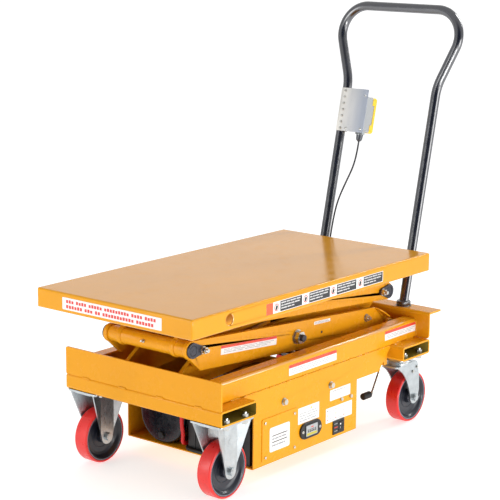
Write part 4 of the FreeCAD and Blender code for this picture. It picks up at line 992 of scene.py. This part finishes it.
def handle_welds():
    """A bead round the foot of each leg of the handle."""
    mesh = bmesh.new()
    for side in (-1, 1):
        foot = Vector((HANDLE_FOOT.x + 0.0015, side * 0.155, HANDLE_FOOT.z + 0.0006))
        add_torus(mesh, foot, Z, 0.0208, 0.0019, 64, 8)
    new_piece("handle_collar_beads", mesh, ["black_gloss"], "base", smooth=60)


# ---- pendant
HANDLE_TURN = Matrix.Rotation(LEAN, 3, "Y")
HANDLE_OUT = HANDLE_TURN @ X
HANDLE_UP = HANDLE_TURN @ Z
COVER_FACE = 0.0416
BRACKET_FACE = -0.0155
BUTTONS = (("down_button", 0.505, -1, "white_print"), ("up_button", 0.559, 1, "dark_print"))


def on_handle(w, y, v):
    """Handle coordinates (out of the handle's plane, across, along a leg) to the row frame."""
    return HANDLE_FOOT + HANDLE_TURN @ Vector((w, y, v))


def pendant_details():
    """Screws in the cover, button rings and arrows, bracket bolts and the rim of its hanging hole."""
    mesh = bmesh.new()
    for y in (0.0765, 0.1325):
        for v in (0.4865, 0.5775):
            add_screw(mesh, on_handle(COVER_FACE, y, v), HANDLE_OUT, 0.0030)
    new_piece("cover_corner_screws", mesh, ["bright"], "base")
    mesh = bmesh.new()
    for _body, v, _way, _key in BUTTONS:
        add_torus(mesh, on_handle(COVER_FACE + 0.0004, 0.1045, v), HANDLE_OUT, 0.0132, 0.0015, 48)
    new_piece("button_rings", mesh, ["black_plastic"], "base")
    for body, v, way, key in BUTTONS:
        mesh = bmesh.new()
        arrow = [(-0.0048, -0.0028 * way), (0.0048, -0.0028 * way), (0, 0.0042 * way)]
        add_prism(mesh, arrow, on_handle(COVER_FACE + 0.0032, 0.1045, v), Y, HANDLE_UP, 0.0004)
        new_piece(body + "_arrow", mesh, [key], body)
    mesh = bmesh.new()
    for k in range(7):
        add_lathe(mesh, bolt_profile(0.0042, 0.0022, 0.003, 0.0032),
                  on_handle(BRACKET_FACE, 0.148, 0.484 + k * 0.0185), -HANDLE_OUT, 6)
    for y, v in ((0.128, 0.4845), (0.0765, 0.4865)):
        add_screw(mesh, on_handle(BRACKET_FACE, y, v), -HANDLE_OUT, 0.0042)
    new_piece("bracket_bolts", mesh, ["bright"], "base")
    mesh = bmesh.new()
    add_torus(mesh, on_handle(BRACKET_FACE - 0.0001, 0.0745, 0.585), HANDLE_OUT, 0.0035, 0.0005, 32, 8)
    new_piece("bracket_hanging_hole", mesh, ["stainless"], "base")


# The pendant cord's route, the same points as the CAD tube's.
CORD_ROUTE = ((1147.3, 89, 757), (1139.4, 89, 723), (1128.5, 95, 680), (1115, 112.5, 632), (1100, 128, 580),
              (1088, 133, 530), (1074, 134, 470), (1062, 133, 415), (1052, 130, 365), (1044, 126, 318),
              (1042, 121, 268), (1038, 117, 218), (1012, 114, 185), (965, 112, 178), (915, 110, 180),
              (865, 107, 176), (815, 104, 169), (770, 101, 160), (729, 98, 152))
CORD_DIAMETER = 0.005


def pendant_cord():
    """The control cord as one smooth curve."""
    curve = bpy.data.curves.new("control_cord", "CURVE")
    curve.dimensions = "3D"
    curve.bevel_depth = CORD_DIAMETER / 2
    curve.bevel_resolution = 5
    curve.resolution_u = 12
    curve.use_fill_caps = True
    spline = curve.splines.new("NURBS")
    spline.points.add(len(CORD_ROUTE) - 1)
    for point, (x, y, z) in zip(spline.points, CORD_ROUTE):
        point.co = (fx(x), y / 1000, z / 1000, 1)
    spline.order_u = 3
    spline.use_endpoint_u = True
    curve.materials.append(M["cord"])
    cord = bpy.data.objects.new("control_cord", curve)
    bpy.context.scene.collection.objects.link(cord)
    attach(cord, "base")
    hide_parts("pendant_cord")


def cord_grommets():
    """Rubber rings where the cord goes through the shelf and into the tray."""
    through_shelf = CORD_ROUTE[9]
    into_tray = CORD_ROUTE[-1]
    mesh = bmesh.new()
    for place, axis in ((Vector((fx(through_shelf[0]), through_shelf[1] / 1000, SHELF_HI.z)), Z),
                        (Vector((TRAY_HI.x, into_tray[1] / 1000, into_tray[2] / 1000)), X)):
        add_torus(mesh, place, axis, 0.0076, 0.0022)
    new_piece("cord_grommets", mesh, ["rubber"], "base")


# ---- stage
# The camera stands ahead of the table and to its right, at about eye height. LENS is in mm on a
# 36 mm wide sensor, and the shift puts the optical axis slightly above the picture's middle.
CAMERA_AT = Vector((-3.4562, -2.7302, 1.4526))
CAMERA_YAW = 0.888
CAMERA_PITCH = -0.204
CAMERA_ROLL = 0.008
LENS = 119.66
SHIFT = (0.0041, -0.0122)


def make_camera():
    """A camera that looks down on the table's front right corner through a long lens."""
    forward = Vector((math.sin(CAMERA_YAW) * math.cos(CAMERA_PITCH),
                      math.cos(CAMERA_YAW) * math.cos(CAMERA_PITCH), math.sin(CAMERA_PITCH)))
    right = Vector((math.cos(CAMERA_YAW), -math.sin(CAMERA_YAW), 0))
    up = right.cross(forward)
    c, s = math.cos(CAMERA_ROLL), math.sin(CAMERA_ROLL)
    right, up = right * c + up * s, up * c - right * s
    data = bpy.data.cameras.new("camera")
    data.lens = LENS
    data.sensor_width = 36
    data.shift_x, data.shift_y = SHIFT
    data.clip_end = 100
    camera = bpy.data.objects.new("camera", data)
    turn = Matrix((right, up, -forward)).transposed().to_4x4()
    camera.matrix_world = Matrix.Translation(CAMERA_AT) @ turn
    bpy.context.scene.collection.objects.link(camera)
    bpy.context.scene.camera = camera


def area_light(name, place, target, size, power):
    """A soft rectangular light that the camera doesn't see."""
    data = bpy.data.lights.new(name, "AREA")
    data.shape = "RECTANGLE"
    data.size, data.size_y = size
    data.energy = power
    light = bpy.data.objects.new(name, data)
    light.location = place
    light.rotation_euler = (Vector(target) - Vector(place)).to_track_quat("-Z", "Y").to_euler()
    light.visible_camera = False
    bpy.context.scene.collection.objects.link(light)


def studio_world():
    """A white surround, brightest behind the table and darkest on the camera's side."""
    world = bpy.data.worlds.new("studio")
    world.use_nodes = True
    tree = world.node_tree
    background = tree.nodes["Background"]
    background.inputs["Color"].default_value = (1, 1, 1, 1)
    direction = tree.nodes.new("ShaderNodeTexCoord").outputs["Generated"]
    toward = tree.nodes.new("ShaderNodeVectorMath")
    toward.operation = "DOT_PRODUCT"
    toward.inputs[1].default_value = (-0.776, -0.631, 0)
    tree.links.new(direction, toward.inputs[0])
    strengths = []
    for numbers in ((0.45, 0.9, 0.68, 0.05), (-0.92, -0.4, 0.4, 0)):
        fade = tree.nodes.new("ShaderNodeMapRange")
        fade.interpolation_type = "SMOOTHSTEP"
        set_range(fade, *numbers)
        tree.links.new(toward.outputs["Value"], fade.inputs["Value"])
        strengths.append(fade.outputs["Result"])
    total = tree.nodes.new("ShaderNodeMath")
    total.operation = "ADD"
    tree.links.new(strengths[0], total.inputs[0])
    tree.links.new(strengths[1], total.inputs[1])
    tree.links.new(total.outputs["Value"], background.inputs["Strength"])
    bpy.context.scene.world = world


def make_stage():
    """A pale floor, a white surround and large soft lights."""
    mesh = bmesh.new()
    bmesh.ops.create_grid(mesh, x_segments=1, y_segments=1, size=40)
    data = bpy.data.meshes.new("floor")
    mesh.to_mesh(data)
    mesh.free()
    floor = bpy.data.objects.new("floor", data)
    bpy.context.scene.collection.objects.link(floor)
    p = Paint("pale_floor", Roughness=0.7, Specular_IOR_Level=0.2, Emission_Color=(1, 1, 1, 1),
              Emission_Strength=0.6)
    patches = p.span(p.noise(0.4, 2), 0.3, 0.7, 0, 1)
    p.colour(p.mixed(patches, rgb(214, 214, 214), rgb(219, 219, 219)))
    data.materials.append(p.material)
    studio_world()
    area_light("front_softbox", (-3.0, 0.8, 0.95), (0, 0, 0.35), (1.8, 1.6), 33)
    area_light("side_softbox", (0.9, -3.4, 0.62), (0, 0, 0.35), (2.0, 1.2), 31)
    area_light("low_fill", (-0.6, -2.2, 0.2), (0, 0, 0.4), (1.4, 0.35), 19)
    area_light("rim_strip", (2.6, -0.75, 2.5), (0, 0, 0.4), (0.35, 1.5), 30)
    bpy.context.scene.view_settings.view_transform = "Standard"


# ---- build
make_camera()
pendant_cord()
finish_cad_nodes()
finish_details_of_cad()
base_welds()
arm_welds()
handle_welds()
skirt_labels()
frame_labels()
panel_labels()
gauge_face()
switch_marks()
battery_details()
tray_leads()
tank_details()
for end in ("front", "rear"):
    for word in ("left", "right"):
        wheel_details(end, word)
swivel_details(-1, "right")
swivel_details(1, "left")
fork_stampings()
grease_nipples()
arm_plugs()
arm_lips()
flag_rings()
pendant_details()
cord_grommets()
make_stage()
